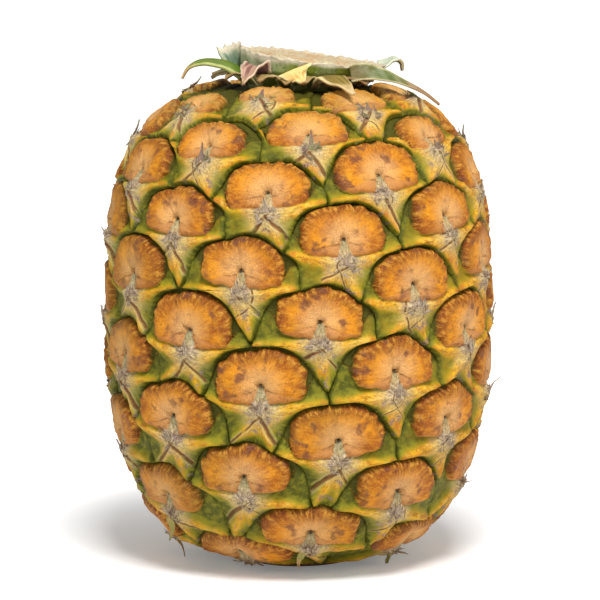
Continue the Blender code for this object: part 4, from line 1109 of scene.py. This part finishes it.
# Leaves left on the stump. Four green ones, torn or bent over with dry ends, and three that dried to straw.
# Each grew from the stump as one blade, stiff and lengthwise ribbed, curled across its width.
LEAF_STATIONS = 56
LEAF_ACROSS = 15
LEAF_THICK = 0.7
LEAF_SEED = 8
EDGE_WAVE = {"green_leaf": 0.12, "dry_leaf": 0.35}
LEAVES = {
    "crown_leaf_torn": {
        "path": [(-17.8, 2.0, 150.6), (-18.8, 2.0, 153.4), (-19.7, 2.2, 156.4), (-20.7, 2.6, 159.2)],
        "width": [(0.25, 1.0, 0.0), (0.75, 0.65, 0.0)],
        "half": (3.2, 4.6, 5.2, 4.8), "curl": 0.22, "rag": 0.7, "slot": "green_leaf",
        "tissue": {"light": "7d9379", "dark": "557258", "ribs": 6.0, "tip": "d6c8ac",
                   "tip_span": (0.66, 0.92), "root": "5f7a28", "edge": "b4bb98", "bloom": 0.3},
    },
    "crown_leaf_left": {
        "path": [(-16.8, -7.0, 151.6), (-20.1, -7.4, 153.9), (-24.8, -7.6, 155.2), (-30.0, -7.4, 155.0),
                 (-33.6, -7.0, 152.8), (-35.4, -6.6, 149.6)],
        "width": [(0.1, 1.0, 0.25), (0.0, 1.0, 0.3)],
        "half": (3.6, 3.4, 2.8, 2.0, 1.1, 0.6), "curl": 0.3, "rag": 0.0, "slot": "green_leaf",
        "tissue": {"light": "7f9030", "dark": "475e16", "ribs": 6.0, "tip": "c7a468",
                   "tip_span": (0.66, 0.86), "root": "55700f", "edge": "b3b86a"},
    },
    "crown_leaf_right": {
        "path": [(15.9, -19.9, 151.7), (20.6, -20.0, 152.3), (26.2, -18.4, 151.0), (32.0, -15.0, 148.8),
                 (38.0, -11.0, 145.7), (43.0, -7.6, 141.8)],
        "width": [(-0.2, 0.45, 0.87), (0.1, 1.0, 0.1)],
        "half": (2.6, 3.0, 2.4, 1.4, 0.8, 0.5), "curl": 0.3, "rag": 0.0, "slot": "green_leaf",
        "tissue": {"light": "75803c", "dark": "44561c", "ribs": 6.0, "tip": "a5794a",
                   "tip_span": (0.50, 0.75), "root": "6a5f2e", "edge": "c2b684", "bloom": 0.25},
    },
    "crown_leaf_hook": {
        "path": [(25.7, 8.4, 151.8), (28.0, 8.7, 153.2), (30.2, 8.4, 153.9), (31.7, 7.8, 153.1),
                 (32.2, 7.2, 151.0)],
        "width": [(-0.42, 0.9, 0.1), (-0.3, 1.0, 0.0)],
        "half": (3.6, 3.0, 2.2, 1.4, 0.6), "curl": 0.2, "rag": 0.0, "slot": "green_leaf",
        "tissue": {"light": "bcc6ae", "dark": "8fa07c", "ribs": 6.0, "tip": "9a7a35",
                   "tip_span": (0.60, 0.75), "root": "c9cfb6", "edge": "d5d6bd", "bloom": 0.3},
    },
    "dry_leaf_front": {
        "path": [(-1.0, -24.4, 153.8), (-0.4, -24.9, 152.5), (0.6, -25.2, 151.0), (1.6, -26.6, 149.6)],
        "width": [(1.0, 0.05, 0.12), (1.0, 0.1, 0.1)],
        "half": (5.8, 4.0, 2.2, 0.6), "curl": -0.1, "rag": 0.0, "slot": "dry_leaf",
        "tissue": {"light": "f0cf84", "dark": "d8a854", "ribs": 8.0, "tip": "8a5a2a",
                   "tip_span": (0.85, 1.0), "root": "e8c373", "edge": "f2dca0"},
    },
    "dry_leaf_right": {
        "path": [(8.2, -20.4, 150.6), (10.2, -23.6, 151.6), (12.7, -27.0, 150.6), (14.8, -30.2, 148.8),
                 (16.6, -32.4, 147.0)],
        "width": [(1.0, 0.35, 0.0), (1.0, 0.4, 0.0)],
        "half": (4.6, 4.6, 3.2, 1.6, 0.6), "curl": -0.2, "rag": 0.5, "slot": "dry_leaf",
        "tissue": {"light": "9a8434", "dark": "6e5618", "ribs": 8.0, "tip": "d9bb86",
                   "tip_span": (0.55, 0.9), "root": "5f5a16", "edge": "e3c98e"},
    },
    "dry_bract_left": {
        "path": [(-11.5, -16.9, 151.4), (-12.5, -18.6, 154.0), (-13.9, -20.9, 153.4), (-15.4, -23.4, 151.2),
                 (-16.5, -25.4, 149.6)],
        "width": [(0.85, -0.5, 0.0), (0.85, -0.5, 0.1)],
        "half": (3.4, 4.2, 3.4, 1.8, 0.6), "curl": 0.35, "rag": 0.9, "slot": "dry_leaf",
        "tissue": {"light": "c39a80", "dark": "7d5346", "ribs": 5.0, "tip": "c9a77c",
                   "tip_span": (0.80, 1.0), "root": "5f3a34", "edge": "dcc0a4"},
    },
}

draw = random.Random(LEAF_SEED)
share = np.linspace(0, 1, LEAF_STATIONS)[:, None]
j = np.linspace(-1, 1, LEAF_ACROSS)
for name, form in LEAVES.items():
    middle = smooth_path(form["path"], LEAF_STATIONS)
    first, last = np.array(form["width"])
    along, across = directions(middle, first * (1 - share) + last * share)
    half = spread(form["half"], LEAF_STATIONS)
    bend = form["curl"] * half[:, None] * j ** 2 + 0.07 * ripple(8 * j, 0.5 * share, draw, 1.6)
    bend = bend + EDGE_WAVE[form["slot"]] * j ** 2 * ripple(0.3 * j, 18 * share, draw, 5.0)
    bend = bend * np.minimum(1, half[:, None] / 2.0)
    points, faces, field = blade(middle, across, np.cross(along, across), half, bend, LEAF_THICK)
    field[:, 2] = len(name)
    torn = ripple(field[:, 1] * 6, 0 * field[:, 0], draw, 2.2, 5) * smooth(0.75, 1.0, field[:, 0])
    points = points + np.repeat(along, 2 * LEAF_ACROSS, axis=0) * (form["rag"] * torn)[:, None]
    piece = make_mesh(name + "_blade", points, faces[:, ::-1].tolist(), {"blade": field})
    dress(piece, name, form["slot"], dry_tissue(name + "_tissue", **form["tissue"])[0])


# Floor and light. A white sheet of paper to stand on, a soft box above the camera and a fill on each side.
# The paper glows for the camera alone, which is painted light: faintly near the fruit, where the lamps'
# shadow
# # still shows, and rising to white further out, as a studio sheet lit from behind would look.
FLOOR_HALF = 3000
PAPER_GLOW_RISES = (0.055, 0.19)
PAPER_GLOW_NEAR, PAPER_GLOW_GAIN = 0.16, 0.68
STUDIO_LIGHT, STUDIO_SEEN_GAIN = 0.34, 0.66
floor_corners = [(x * FLOOR_HALF, y * FLOOR_HALF, 0) for x, y in ((-1, -1), (1, -1), (1, 1), (-1, 1))]
floor = make_mesh("floor", floor_corners, [(0, 1, 2, 3)])
paper_white, tree, shader = new_material("paper_white")
shader.inputs["Base Color"].default_value = (0.95, 0.95, 0.95, 1)
shader.inputs["Roughness"].default_value = 0.9
shader.inputs["Emission Color"].default_value = (1, 1, 1, 1)
away = tree.new("VectorMath")
away.operation = "LENGTH"
tree.put(away.inputs[0], tree.place())
# painted glow: brighter with distance from the fruit, seen by the camera only
painted_glow = tree.fade(away.outputs["Value"], *PAPER_GLOW_RISES)
lift = tree.plus(tree.times(painted_glow, PAPER_GLOW_GAIN), PAPER_GLOW_NEAR)
tree.put(shader.inputs["Emission Strength"], tree.times(tree.seen(), lift))
floor.data.materials.append(paper_white)

world = bpy.data.worlds.new("studio")
bpy.context.scene.world = world
world.use_nodes = True
tree = Nodes(world.node_tree)
background = world.node_tree.nodes["Background"]
background.inputs["Color"].default_value = (1, 1, 1, 1)
strength = tree.plus(tree.times(tree.seen(), STUDIO_SEEN_GAIN), STUDIO_LIGHT)
tree.put(background.inputs["Strength"], strength)


def soft_box(name, spot, size, power):
    """Square area light aimed at the middle of the fruit."""
    data = bpy.data.lights.new(name, "AREA")
    data.shape = "SQUARE"
    data.size = size
    data.energy = power
    made = bpy.data.objects.new(name, data)
    made.location = spot
    made.rotation_euler = (Vector(spot) - Vector((0, 0, 0.08))).to_track_quat("Z", "Y").to_euler()
    bpy.context.scene.collection.objects.link(made)


soft_box("key", (0.12, -0.70, 1.15), 0.38, 16.5)
soft_box("left_fill", (-1.1, -0.6, 0.4), 0.6, 2.4)
soft_box("right_fill", (1.1, -0.5, 0.5), 0.6, 3.0)
bpy.context.scene.view_settings.view_transform = "Standard"
